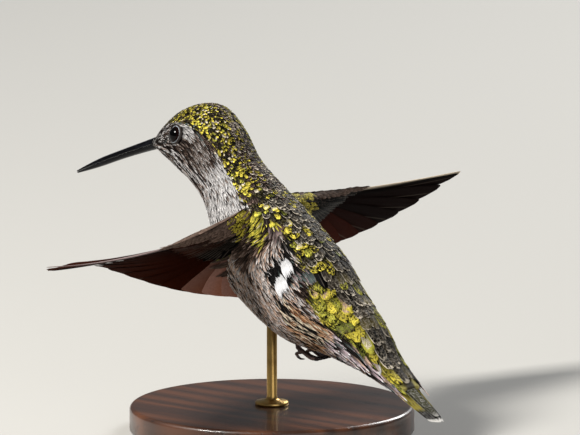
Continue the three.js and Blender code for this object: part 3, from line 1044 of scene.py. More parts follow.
TONES: dict[str, tuple[Tone, ...]] = {
    "flank": (
        Tone(0.38, SAND, DOVE, 0.6), Tone(0.13, UMBER, DRAB, 0.7), Tone(0.25, DOVE, SILVER, 0.4),
        Tone(0.24, SILVER, SAND, 0.6),
    ),
    "breast": (Tone(0.45, SAND, SILVER, 0.5), Tone(0.35, SILVER, SAND, 0.6), Tone(0.2, UMBER, DRAB)),
    "neck": (Tone(0.88, SILVER, WHITE, 0.7), Tone(0.07, ASH, SILVER), Tone(0.05, BROWN, ASH)),
    "throat": (
        Tone(0.3, SILVER, WHITE), Tone(0.12, DOVE, SILVER), Tone(0.46, BROWN, INK), Tone(0.12, DRAB, ASH),
    ),
    "cheek": (
        Tone(0.26, ASH, SILVER, 0.5), Tone(0.34, BROWN, UMBER), Tone(0.26, UMBER, DRAB, 0.6),
        Tone(0.07, TEAL, ASH), Tone(0.07, SILVER, WHITE),
    ),
    "lore": (Tone(0.35, SILVER, ASH), Tone(0.65, BROWN, INK)),
    "ear": (Tone(0.46, ASH, SILVER, 0.5), Tone(0.34, UMBER, ASH, 0.5), Tone(0.2, BROWN, UMBER)),
    "smudge": (Tone(0.66, BROWN, UMBER), Tone(0.2, UMBER, ASH), Tone(0.14, ASH, ASH)),
    "spot": (Tone(0.9, SILVER, WHITE), Tone(0.1, UMBER, ASH)),
    "vent": (
        Tone(0.32, BUFF, SAND, 0.6), Tone(0.4, INK, BROWN, 0.8), Tone(0.06, RUSSET, BUFF, 0.4),
        Tone(0.22, CREAM, SAND, 0.5),
    ),
    "undertail": (
        Tone(0.28, LILAC, WHITE, 0.5), Tone(0.08, TEAL, LILAC, 0.6), Tone(0.36, INK, UMBER, 0.75),
        Tone(0.28, DRAB, SAND, 0.5),
    ),
    "wedge": (Tone(0.7, BROWN, UMBER), Tone(0.3, OLIVE, GREEN, 0.6, 0.4)),
    "haunch": (
        Tone(0.4, SLATE, FRINGE, 0.72, 0.1), Tone(0.14, BACK, FRINGE, 0.7, 0.1),
        Tone(0.24, HUSK, FRINGE, 0.74, 0.1), Tone(0.22, HUSK, LIME, 0.6, 0.3),
    ),
    "back": (
        Tone(0.58, BACK, FRINGE, 0.7, 0.05), Tone(0.24, SLATE, FRINGE, 0.74, 0.05),
        Tone(0.12, BACK, GOLD, 0.7, 0.4), Tone(0.06, GREEN, OLIVE, 0.45, 0.6),
    ),
    "nape": (
        Tone(0.4, BACK, DRAB, 0.6), Tone(0.34, UMBER, FRINGE, 0.62), Tone(0.18, ASH, FRINGE, 0.5),
        Tone(0.08, OLIVE, GOLD, 0.7, 0.4),
    ),
    "scapular": (
        Tone(0.2, GOLD, OLIVE, 0.6, 0.35), Tone(0.08, CREAM, GOLD, 0.5, 0.3),
        Tone(0.06, LIME, OLIVE, 0.6, 0.5), Tone(0.14, OLIVE, GOLD, 0.6, 0.4),
        Tone(0.34, OLIVE, HUSK, 0.75, 0.2), Tone(0.18, BACK, FRINGE, 0.74, 0.1),
    ),
    "mantle": (
        Tone(0.5, MANTLE, UMBER, 0.7), Tone(0.25, UMBER, MANTLE, 0.6), Tone(0.25, DRAB, MANTLE, 0.4),
    ),
    "shoulder": (
        Tone(0.5, GOLD, LIME, 0.7, 0.4), Tone(0.12, LIME, GREEN, 0.7, 0.5),
        Tone(0.06, CREAM, GOLD, 0.6, 0.2), Tone(0.32, BROWN, UMBER, 0.7),
    ),
    "crown": (
        Tone(0.25, GOLD, OLIVE, 0.7, 0.3), Tone(0.07, LIME, OLIVE, 0.6, 0.4),
        Tone(0.11, CREAM, OLIVE, 0.6, 0.1), Tone(0.14, OLIVE, GOLD, 0.6, 0.4),
        Tone(0.31, OLIVE, HUSK, 0.85, 0.2), Tone(0.12, UMBER, ASH, 0.7),
    ),
    "forehead": (
        Tone(0.5, BROWN, ASH, 0.55), Tone(0.28, OLIVE, LIME, 0.6, 0.5), Tone(0.22, UMBER, SILVER, 0.6),
    ),
    "gold": (
        Tone(0.24, GOLD, OLIVE, 0.65, 0.4), Tone(0.09, LIME, OLIVE, 0.6, 0.5),
        Tone(0.08, CREAM, OLIVE, 0.6, 0.2), Tone(0.14, OLIVE, GOLD, 0.6, 0.4),
        Tone(0.33, OLIVE, HUSK, 0.8, 0.2), Tone(0.12, UMBER, DRAB, 0.7),
    ),
    "rump": (
        Tone(0.48, GOLD, OLIVE, 0.76, 0.28), Tone(0.28, LIME, OLIVE, 0.74, 0.28),
        Tone(0.08, SAND, GOLD, 0.35, 0.28), Tone(0.08, CREAM, LIME, 0.3, 0.28),
        Tone(0.08, GREEN, HUSK, 0.7, 0.3),
    ),
    "mauve": (Tone(0.7, MAUVE, ASH, 0.6), Tone(0.3, UMBER, MAUVE)),
    # painted shade: the hollow behind the wing is near black, and the wisps around it mostly so
    "hollow": (Tone(0.9, INK, BROWN), Tone(0.1, ASH, SILVER, 0.3)),
    "wisps": (Tone(0.72, INK, INK), Tone(0.2, SILVER, WHITE), Tone(0.08, TEAL, INK)),
    "veil": (Tone(0.5, MAUVE, LILAC, 0.6), Tone(0.5, TEAL, ASH)),
    "shade": (Tone(0.6, BROWN, UMBER), Tone(0.4, UMBER, DRAB, 0.6)),
}


@dataclass(frozen=True)
class Markings:
    """Colours of the plumage by place on the body, the same for the skin and its coat."""

    streak_width: float = 2.2  # degrees
    streak_length: float = 0.8  # sections
    streaked: dict[str, float] = field(
        default_factory=lambda: {
            "flank": 0.25, "breast": 0.4, "throat": 0.88, "cheek": 0.65, "ear": 0.5,
            "vent": 0.85, "undertail": 0.85, "nape": 0.6, "wisps": 0.85,
        }
    )  # share of a zone's feathers that follow the streaks

    def streaks(self, section: Array, angle: Array) -> Array:
        """Numbers from 0 to 1 that are alike along short thin lines of the body."""
        rng = np.random.default_rng(SEED + 2)
        table, start = rng.random((64, 128)), rng.random(128)
        line = (angle / self.streak_width).astype(int) % 128
        return table[(section / self.streak_length + start[line]).astype(int) % 64, line]

    def flank_line(self, section: Array) -> Array:
        """Degrees from the back at which the upper side's plumage ends."""
        rows = [0, 2, 3.2, 4, 5, 6, 6.9, 7.2, 7.4, 7.7, 8, 8.6, 9, 9.5, 10, 10.5, 11, 11.5, 12, 12.6, 14]
        line = [46, 48, 50, 54, 52, 54, 58, 57, 52, 46, 42, 42, 43, 50, 57, 70, 77, 75, 71, 66, 62]
        return np.interp(section, rows, line)

    def zones(self, section: Array, angle: Array) -> dict[str, Array]:
        """How much each zone counts at places of the body.

        Args:
            section: section numbers.
            angle: degrees from the back, 0 to 180.

        Returns:
            A weight from 0 to 1 for each zone's name, later ones lying over earlier ones.
        """
        rows = [0, 3, 5, 6, 8, 10, 10.7, 11.2, 11.6, 12, 12.6, 13, 14]
        inner = np.interp(section, rows, [0, 3, 15, 26, 28, 30, 35, 34, 31, 34, 33, 29, 25])
        outer = self.flank_line(section)
        under = smooth(angle, outer - 3, outer + 3)
        # painted highlight: the band where the iridescent feathers glint gold in sunlight, the same on both
        # sides, partly their own golden green
        gold = band(angle, inner, outer, 4)
        head = 1 - smooth(section, 5.4, 6.2)
        back = 1 - smooth(angle, inner - 4, inner + 4)
        bill = 1 - smooth(section, 2.6, 3.1)
        warm = np.interp(section, [9.5, 10, 10.5, 11], [94, 106, 128, 200])

        def patch(start: float, end: float, fade: float, low: Any, high: Any, soft: float) -> Array:
            """A patch between two sections and two angles."""
            return band(section, start, end, fade) * band(angle, low, high, soft)

        return {
            "flank": smooth(section, 7.0, 8.0) * under,
            "breast": smooth(section, 6.8, 8.0) * smooth(angle, 108, 130),
            "neck": band(section, 5.3, 7.7, 0.3) * under,
            "throat": (1 - smooth(section, 5.6, 6.8)) * smooth(angle, 88, 100),
            "cheek": under * (1 - smooth(section, 5.2, 6.0)) * (1 - smooth(angle, 88, 100)),
            "lore": under * (1 - smooth(section, 2.5, 3.0)) * (1 - smooth(angle, 90, 100)),
            "ear": patch(4.55, 5.6, 0.2, 60, 92, 4), "smudge": patch(3.85, 4.6, 0.15, 72, 87, 3),
            "spot": patch(3.45, 4.35, 0.08, 56, 73, 2), "vent": patch(9.6, 11.4, 0.2, 81, warm, 5),
            "undertail": smooth(section, 11.3, 11.6) * smooth(angle, outer + 4, outer + 10),
            "wedge": patch(11.0, 12.6, 0.3, outer - 4, outer + 7, 3), "back": back,
            "nape": back * (1 - smooth(section, 6.6, 7.6)), "haunch": back * smooth(section, 9.8, 11.0),
            "crown": gold * head * smooth(section, 2.6, 3.1),
            "forehead": (1 - smooth(angle, outer - 4, outer)) * bill,
            "gold": gold * smooth(section, 5.4, 6.2) * (1 - smooth(section, 9.9, 10.4)),
            "rump": gold * smooth(section, 9.9, 10.4), "scapular": gold * band(section, 7.3, 9.6, 0.2),
            "mantle": patch(7.3, 8.42, 0.08, outer - 3, 108, 3),
            "shoulder": patch(7.35, 8.3, 0.1, outer - 2, 74, 5),
            # painted shade of the hollow behind the wing, which the wisps mostly carry on
            "mauve": patch(8.1, 8.55, 0.12, 43, 58, 4), "hollow": patch(8.5, 8.95, 0.12, 40, 53, 4),
            "wisps": patch(8.75, 9.6, 0.12, 50, 85, 4), "veil": patch(9.5, 9.95, 0.12, 44, 60, 4),
            "shade": patch(9.8, 10.35, 0.15, 56, 72, 5),
        }

    def mean(self, section: Array, angle: Array) -> Array:
        """The plain colour of a place, for the skin."""
        colour = np.tile(DRAB, (len(section), 1))
        for name, weight in self.zones(section, angle).items():
            mixed = sum(t.share * np.array(t.middle) for t in TONES[name])
            colour = lerp(colour, mixed, weight[:, None])
        return colour

    def feathers(self, section: Array, angle: Array, rng: Generator) -> Looks:
        """Looks of single feathers, with a random pick among the tones of their zone."""
        count = len(section)
        looks = Looks(np.zeros((count, 3)), np.zeros((count, 3)), np.zeros(count), np.ones(count))
        lines = self.streaks(section, angle)
        for name, weight in {"flank": np.ones(count), **self.zones(section, angle)}.items():
            won = rng.random(count) < weight
            pick = rng.random(count)
            if name in self.streaked:
                pick = np.where(rng.random(count) < self.streaked[name], lines, pick)
            start = 0.0
            for tone in TONES[name]:
                chosen = won & (pick >= start) & (pick < start + tone.share)
                looks.tint[chosen] = tone.middle
                looks.rim[chosen] = tone.border
                looks.sheen[chosen] = tone.metal
                looks.reach[chosen] = tone.reach
                start += tone.share
        light = rng.uniform(0.75, 1.25, (count, 1))
        looks.tint, looks.rim = looks.tint * light, looks.rim * light
        looks.reach *= rng.uniform(0.85, 1.15, count)
        return looks


MARKINGS = Markings()


# ---- coat of the body ----


@dataclass(frozen=True)
class Tract:
    """Feathers of one kind and the part of the body that they cover."""

    name: str
    slot: str
    vane: Vane
    upper: bool  # above the flank line
    start: float  # section numbers
    end: float
    steps: Pair  # millimetres between rows at the start and at the end
    spacing: Pair  # millimetres between neighbours
    overlap: float = 2.6  # feather length for each millimetre between rows
    fill: float = 0.62  # half width for each millimetre between neighbours
    root_depth: float = 0.45
    tip_depth: float = 0.0
    sway: float = 7.0  # degrees
    jitter: float = 0.35
    growth: float = 1.0  # above 1 the feathers grow late

    def share(self, section: Any) -> Any:
        """How far the feathers have grown from the start's size to the end's at a section."""
        return np.clip((section - self.start) / (self.end - self.start), 0, 1) ** self.growth


TRACTS = (
    Tract("coat_crown", "plumage_crown", Vane(3, 4, Outline.LOOSE, 0.03, 0.08, 0.07), True, 0.1, 5.8,
          (0.21, 0.37), (0.22, 0.39), sway=18, root_depth=0.32, jitter=0.45),
    Tract("coat_face", "plumage_crown", Vane(2, 3, Outline.LANCE, 0.03), False, 0.1, 5.8,
          (0.28, 0.46), (0.15, 0.2), 3.9, root_depth=0.32, sway=5, jitter=0.5),
    Tract("coat_back", "plumage_body", Vane(6, 7, Outline.SCALE, 0.04, 0.07, 0.08), True, 5.7, 10.9,
          (0.42, 1.6), (0.46, 1.6), 2.4, growth=1.2),
    Tract("coat_throat", "plumage_throat", Vane(2, 4, Outline.LANCE, 0.03), False, 5.7, 8.4,
          (0.5, 0.65), (0.22, 0.28), 3.4, 0.8, sway=6, jitter=0.5),
    Tract("coat_breast", "plumage_body", Vane(2, 5, Outline.LANCE, 0.03), False, 8.3, 11.4,
          (0.6, 0.85), (0.19, 0.27), 3.4, 0.76, sway=8, jitter=0.5, root_depth=0.5),
    Tract("coat_rump", "plumage_body", Vane(8, 9, Outline.SCALE, 0.04, 0.07, 0.06), True, 10.8, 12.9,
          (1.6, 2.6), (1.6, 2.0), 2.2, tip_depth=0.1, sway=3, jitter=0.08),
    Tract("coat_undertail", "plumage_body", Vane(4, 8, Outline.LOOSE, 0.04), False, 11.2, 13.3,
          (0.9, 1.5), (0.42, 0.6), 3.6),
)


@dataclass
class BodyCoat:
    """Feathers of head, neck, trunk and rump in staggered rows from the bill to the tail."""

    form: BodyForm = BODY_FORM
    eye_clear: float = 1.34  # radius around the eye that stays free
    fan_section: float = 7.9  # feathers around here turn towards the wing
    fan_angle: float = 72
    fan_turn: float = 92
    tufts: tuple = ((8.84, 57, 6, 8), (9.08, 74, 9, 12))  # section, degrees, plumes, width in degrees
    tuft_length: Pair = (2.9, 3.7)  # the least and the most
    tuft_half: Pair = (0.26, 0.38)
    tuft_white: Colour = srgb("f2f3f6")
    rng: Generator = field(default_factory=lambda: np.random.default_rng(SEED))

    def _roots(self, tract: Tract) -> tuple[Array, Array]:
        """Section numbers and angles in radians of a tract's roots."""
        sections, angles = [], []
        section, row = tract.start, 0
        while section < tract.end:
            line = float(MARKINGS.flank_line(np.array(section)))
            low, high = (-line, line) if tract.upper else (line - 4, 364 - line)
            ring = np.radians(np.linspace(low, high, 181))
            along, across = self.form.stretch(np.full_like(ring, section), ring)
            arc = np.concatenate([[0], np.cumsum((across[1:] + across[:-1]) / 2 * np.diff(ring))])
            spacing = lerp(*tract.spacing, tract.share(section))
            count = max(4, round(arc[-1] / spacing))
            wanted = np.arange(count) + 0.25 + 0.5 * (row % 2)
            wanted = wanted + self.rng.uniform(-1, 1, count) * tract.jitter
            angles.append(np.interp(wanted / count * arc[-1], arc, ring))
            step = lerp(*tract.steps, tract.share(section))
            shift = self.rng.uniform(-1, 1, count) * tract.jitter
            sections.append(section + shift * step / np.interp(angles[-1], ring, along))
            section += step / float(along[::20].mean())
            row += 1
        around = np.concatenate(angles)
        return np.concatenate(sections), (around + math.pi) % math.tau - math.pi

    def _clear_eyes(self, section: Array, around: Array, along: Array, length: Array) -> Array:
        """Shortens feathers that reach over an eye, to 0 where they start on it."""
        eyes = np.stack([Eyes.front(side) for side in Side])

        def near(places: Array, reach: float) -> Array:
            """Whether places on the body at these sections are within reach of an eye."""
            points = self.form.point(places, around)
            return np.linalg.norm(points[:, None] - eyes[None], axis=2).min(axis=1) < reach

        for _ in range(6):
            over = np.zeros(len(section), bool)
            for share in (0.5, 0.8, 1.0):
                over |= near(section + share * length / along, self.eye_clear)
            length = np.where(over, length * 0.72, length)
        return np.where(over | near(section, self.eye_clear * 0.96), 0, length)

    def _laid(
        self, roots: Array, stretch: tuple[Array, Array], turn: Array, depth: Callable[..., Array]
    ) -> Placer:
        """How feathers lie on the body.

        Args:
            roots: their angles around the body and their section numbers, one row each.
            stretch: millimetres for one section and for one radian there.
            turn: the angles by which they turn from the tail towards the left side.
            depth: gives depths from millimetres along and above a feather.

        Returns:
            The function that places their points.
        """
        around, section = roots.T[..., None]
        along, across = (s[:, None] for s in stretch)
        cosine, sine = np.cos(turn)[:, None], np.sin(turn)[:, None]

        def place(x: Array, y: Array, z: Array) -> Array:
            """Points of the feathers."""
            where = section + (y * cosine - x * sine) / along
            return self.form.point(where, around + (y * sine + x * cosine) / across, depth(y, z))

        return place

    def _tract(self, tract: Tract, material: Material) -> Piece:
        """Lays one tract."""
        section, around = self._roots(tract)
        along, across = self.form.stretch(section, around)
        share = tract.share(section)
        length = lerp(*tract.steps, share) * tract.overlap
        length = length * self.rng.uniform(0.85, 1.15, len(section))
        length = self._clear_eyes(section, around, along, length)
        keep = length > 0.25
        section, around, along, across = (v[keep] for v in (section, around, along, across))
        length, share = length[keep], share[keep]
        half = lerp(*tract.spacing, share) * tract.fill * self.rng.uniform(0.85, 1.15, len(share))
        angle = np.degrees(np.abs(around))
        fan = band(section, self.fan_section - 0.6, self.fan_section + 0.45, 0.2)
        fan = fan * band(angle, self.fan_angle - 26, self.fan_angle + 34, 8) * np.sign(around)
        turn = np.radians(self.rng.normal(0, tract.sway, len(section)) + self.fan_turn * fan)
        reach = length * 0.7
        middle = np.minimum(section + reach * np.cos(turn) / along, self.form.last)
        beside = np.degrees(np.abs(around + reach * np.sin(turn) / across))
        looks = MARKINGS.feathers(middle, np.where(beside > 180, 360 - beside, beside), self.rng)
        lift = self.rng.uniform(-0.03, 0.03, len(section))[:, None]
        top = tract.vane.crown * half[:, None]

        def depth(y: Array, z: Array) -> Array:
            """Depth under the outer form, from the distance to the root and the height."""
            rise = np.clip(y / length[:, None], 0, 1) ** 0.6
            return lerp(tract.root_depth, tract.tip_depth, rise) + top - z + lift

        roots = np.stack([around, section], axis=1)
        plumes = Plumes(tract.vane, self.rng)
        plumes.add(self._laid(roots, (along, across), turn, depth), length, half, looks, roots)
        return plumes.piece(tract.name, material)

    def _tufts(self, material: Material) -> Piece:
        """Two white tufts of long plumes behind each wing."""
        rows = []
        for side in Side:
            for section, angle, count, width in self.tufts:
                for off in np.linspace(-1, 1, count):
                    around, turn = np.radians((angle + off * width * 0.45, off * 4 + 14)) * side.value
                    rows.append((around, section + 0.06 * abs(off), turn))
        around, section, turn = np.array(rows).T
        count = len(rows)
        length = self.rng.uniform(*self.tuft_length, count)
        half = self.rng.uniform(*self.tuft_half, count)
        lift = self.rng.uniform(0.0, 0.1, count)[:, None]

        def depth(y: Array, z: Array) -> Array:
            """Depth under the outer form; the plumes arch over their neighbours."""
            rise = np.clip(y / length[:, None], 0, 1)
            return lerp(0.35, -0.02, np.sin(rise * 2.2)) - z - lift

        roots = np.stack([around, section], axis=1)
        place = self._laid(roots, self.form.stretch(section, around), turn, depth)
        plumes = Plumes(Vane(4, 9, Outline.LANCE, 0.04, crown=0.3), self.rng)
        plumes.add(place, length, half, Looks(self.tuft_white, WHITE, 0.0, 0.6), roots)
        return plumes.piece("coat_tufts", material)

    def build(self, material: Material, silky: Material) -> list[tuple[Piece, str]]:
        """Lays all tracts and the tufts; returns the pieces and their slots."""
        pieces = [(self._tract(tract, material), tract.slot) for tract in TRACTS]
        return [*pieces, (self._tufts(silky), "plumage_body")]


# ---- skin ----


@dataclass
class Skin:
    """One skin for body and arms, inside the outer form by the coat's depth."""

    form: BodyForm = BODY_FORM
    depths: tuple[float, ...] = (0.22, 0.28, 0.32, 0.35, 0.42, 0.45, 0.45, 0.45, 0.4)
    rows: tuple[float, ...] = (0, 1, 2, 4, 6, 8, 10, 12, 14)
    arm_depth: float = 0.45
    voxel: float = 0.3

    def build(self, material: Material) -> Piece:
        """Builds the skin with its markings."""

        def body(t: Array, around: Array, share: Array) -> Array:
            """Points of the body."""
            section = t * self.form.last
            outer = self.form.point(section, around, np.interp(section, self.rows, self.depths))
            return lerp(self.form.centre(section), outer, share[:, None])

        parts = [capped_tube(64, 120, body)]
        for wing in WINGS:

            def arm(t: Array, around: Array, share: Array, wing: WingForm = wing) -> Array:
                """Points of one arm."""
                span = lerp(wing.arm_start, wing.arm_end, t)
                half_chord, half_thick = wing.arm_half(span)
                chord = half_chord - wing.arm_lead
                chord = chord + (half_chord - self.arm_depth) * np.sin(around) * share
                thick = np.maximum(half_thick - self.arm_depth, 0.12)
                return wing.point(span, chord, thick * np.cos(around) * share)

            parts.append(capped_tube(24, 30, arm))
        raw = to_object(joined(parts), "skin", material)
        remesh = raw.modifiers.new("one_skin", "REMESH")
        remesh.mode = "VOXEL"
        remesh.voxel_size = self.voxel * MM
        remesh.use_smooth_shade = True
        graph = bpy.context.evaluated_depsgraph_get()
        mesh = bpy.data.meshes.new_from_object(raw.evaluated_get(graph))
        raw.modifiers.clear()
        raw.data = mesh
        self._mark(mesh)
        return raw

    def _mark(self, mesh: Mesh) -> None:
        """Gives each vertex the colour of the nearest place of the body."""
        sections, angles = np.meshgrid(
            np.linspace(0, self.form.last, 141), np.radians(np.arange(-180, 180, 5.0))
        )
        sections, angles = sections.ravel(), angles.ravel()
        colours = MARKINGS.mean(sections, np.degrees(np.abs(angles)))
        tree = KDTree(len(sections))
        for i, co in enumerate(self.form.point(sections, angles, 0.6) * MM):
            tree.insert(co, i)
        tree.balance()
        found = [tree.find(v.co) for v in mesh.vertices]
        off = np.array([f[2] for f in found]) / MM
        tint = colours[[f[1] for f in found]].astype(np.float32)
        paint(mesh, "tint", lerp(tint, MANTLE, smooth(off, 0.8, 1.8)[:, None]))


# ---- eyes and bill ----


@dataclass
class Eyes:
    """Eyeballs sunk in the head with a ring of lid skin around each."""

    radius: float = 1.6
    section: float = 3.5
    around: float = 71.5
    sunk: float = 1.0
    forward: float = 0.15  # how much the eye turns from the head's normal towards the bill
    opening: float = 1.28  # radius of the visible eye
    ring: float = 0.027  # half thickness of the lid ring
    swelling: float = 1.5  # how much thicker the ring is above and behind the eye
    beads: int = 19  # around the ring
    bulge: float = 0.06  # of the cornea
    collar: float = 1.2  # angle in radians from the gaze at which the lid ends

    @classmethod
    def centre(cls, side: Side) -> Array:
        """The eyeball's centre."""
        surface = BODY_FORM.point(cls.section, side.value * math.radians(cls.around))
        return surface + unit(BODY_FORM.centre(cls.section) - surface) * cls.sunk

    @classmethod
    def gaze(cls, side: Side) -> Array:
        """The direction in which an eye looks."""
        out = BODY_FORM.normal(cls.section, side.value * math.radians(cls.around))
        return unit(out - (0.0, cls.forward, 0.0))

    @classmethod
    def front(cls, side: Side) -> Array:
        """A point inside the cornea, which feathers keep clear of."""
        return cls.centre(side) + cls.gaze(side) * cls.radius * 0.75

    def ball(self, side: Side, material: Material) -> Piece:
        """An eyeball whose pole looks out of the head, with a slightly raised cornea."""
        bm = bmesh.new()
        bmesh.ops.create_uvsphere(bm, u_segments=48, v_segments=32, radius=self.radius)
        turn = Vector((0, 0, 1)).rotation_difference(Vector(self.gaze(side)))
        rims = [math.hypot(v.co.x, v.co.y) / self.opening if v.co.z > 0 else 2.0 for v in bm.verts]
        for vert, rim in zip(bm.verts, rims):
            vert.co.z += self.bulge * max(0.0, 1 - rim**2)
        bmesh.ops.rotate(bm, verts=bm.verts, cent=(0, 0, 0), matrix=turn.to_matrix())
        bmesh.ops.translate(bm, verts=bm.verts, vec=Vector(self.centre(side)))
        eye = to_object(bm, f"eyeball_{side.word}", material)
        eye.data.attributes.new("gaze", "FLOAT", "POINT").data.foreach_set("value", rims)
        return eye

    def _ring(
        self, side: Side, name: str, material: Material,
        profile: Callable[[Array, Array], tuple[Array, Array]],
    ) -> Piece:
        """A closed ring around the gaze.

        Args:
            side: the eye's side.
            name: the piece's name.
            material: its finish.
            profile: gives distances from the gaze and heights over the eyeball's centre, from angles
                around the gaze and around the ring's section.

        Returns:
            The object.
        """
        centre, gaze = self.centre(side), self.gaze(side)
        backward = unit(np.cross(gaze, np.cross(np.array([0.0, 1.0, 0.3]), gaze)))
        upward = np.cross(gaze, backward) * side.value

        def place(t: Array, around: Array, share: Array) -> Array:
            """Points of the ring."""
            turn = t * math.tau
            outward = backward * np.cos(turn)[:, None] * 0.95 + upward * np.sin(turn)[:, None]
            reach, rise = profile(turn, around)
            return centre + outward * reach[:, None] + gaze * rise[:, None]

        bm = capped_tube(14, 120, place)
        caps = [f for f in bm.faces if len(f.verts) == 3]
        bmesh.ops.delete(bm, geom=caps, context="FACES")
        loose = [v for v in bm.verts if not v.link_faces]
        bmesh.ops.delete(bm, geom=loose, context="VERTS")
        bmesh.ops.remove_doubles(bm, verts=bm.verts, dist=1e-3)
        bmesh.ops.recalc_face_normals(bm, faces=bm.faces)
        return to_object(bm, name, material)

    def lid(self, side: Side, material: Material) -> Piece:
        """The pale edge of the lids, thicker above and behind the eye."""
        height = math.sqrt(self.radius**2 - self.opening**2)

        def profile(turn: Array, around: Array) -> tuple[Array, Array]:
            """A round edge, thickest above and behind the eye."""
            fat = self.ring * (1 + self.swelling * np.maximum(0, np.cos(turn - 0.7)) ** 2)
            fat = fat * (1 + 0.1 * np.sin(turn * self.beads))
            reach = self.opening + self.ring * 0.6 + fat * np.cos(around)
            return reach, height + fat * 0.8 * np.sin(around)

        return self._ring(side, f"lid_edge_{side.word}", material, profile)

    def socket(self, side: Side, material: Material) -> Piece:
        """The lids' skin over the eyeball, from the pale edge to under the feathers."""
        start = math.asin(self.opening / self.radius)

        def profile(turn: Array, around: Array) -> tuple[Array, Array]:
            """A thin skin close to the eyeball."""
            share = (1 - np.cos(around)) / 2
            slope = lerp(start + 0.02, self.collar, share)
            radius = self.radius + 0.05 + 0.06 * np.sin(around)
            return radius * np.sin(slope), radius * np.cos(slope)

        return self._ring(side, f"lid_skin_{side.word}", material, profile)


@dataclass(frozen=True)
class Mandible:
    """Sizes of one half of the bill."""

    root_half: float
    root_depth: float
    half: float
    depth: float
    up: int  # 1 for the upper mandible and -1 for the lower


@dataclass
class Bill:
    """A long thin bill with a ridge along its top, nostril slits and cutting edges."""

    length: float = 17.9
    inside: float = 0.8  # of the length, in the head
    droop: float = 21
    rise: float = 0.2
    flare_curve: float = 3
    taper: float = 0.645
    taper_curve: float = 1.6
    point: float = 0.3
    parting: float = 0.03
    step_curve: float = 1.4  # closer steps near the root
    ridge: float = 0.06  # height of the ridge for each millimetre of depth
    ridge_width: float = 14  # degrees
    slit_place: Pair = (0.13, 52)  # share of the length and degrees from the top
    slit_size: Pair = (0.05, 13)
    slit_depth: float = 0.16  # share of the bill's depth
    upper: Mandible = Mandible(1.2, 0.95, 0.72, 0.6, 1)
    lower: Mandible = Mandible(1.05, 0.85, 0.64, 0.6, -1)

    def build(self, size: Mandible, name: str, material: Material) -> Piece:
        """Builds one mandible.

        Args:
            size: its sizes.
            name: the piece's name.
            material: its finish.

        Returns:
            The object.
        """
        droop = math.radians(self.droop)
        forward = np.array([0.0, -math.cos(droop), -math.sin(droop)])
        above = -np.cross(X_AXIS, forward)
        root = BODY_FORM.centre(0) - forward * self.inside

        def place(t: Array, around: Array, share: Array) -> Array:
            """Points of the mandible."""
            reach = t**self.step_curve
            flare = (1 - reach) ** self.flare_curve
            beyond = np.clip((reach - self.taper) / (1 - self.taper), 0, 1)
            narrow = lerp(1, self.point, beyond**self.taper_curve)
            half = lerp(size.half, size.root_half, flare) * narrow
            depth = lerp(size.depth, size.root_depth, flare) * narrow
            up = np.maximum(0, np.cos(around)) ** 0.9
            degrees = np.abs(np.degrees(around))
            ridge = self.ridge * depth * np.exp(-((degrees / self.ridge_width) ** 2))
            (middle, aside), (long, wide) = self.slit_place, self.slit_size
            slit = np.exp(-(((reach - middle) / long) ** 2))
            slit = slit * np.exp(-(((degrees - aside) / wide) ** 2))
            dent = self.slit_depth * slit * (size.up > 0)
            height = (depth * (1 - dent) * up + ridge) * share + self.parting
            arch = self.rise * np.sin(math.pi * reach)
            return (
                root + forward * (reach * self.length)[:, None] + X_AXIS * (
                    half * (1 - dent) * np.sin(around) * share
                )[:, None] + above * (arch + size.up * height)[:, None]
            )

        return to_object(capped_tube(40, 90, place), name, material)


# ---- wings ----


@dataclass(frozen=True)
class Arc:
    """An arc of coverts around the shoulder."""

    radius: float  # of the roots
    angles: Pair  # degrees from the span towards the trailing edge
    spacing: float
    length: float
    half: float
    golden: float  # share of golden feathers


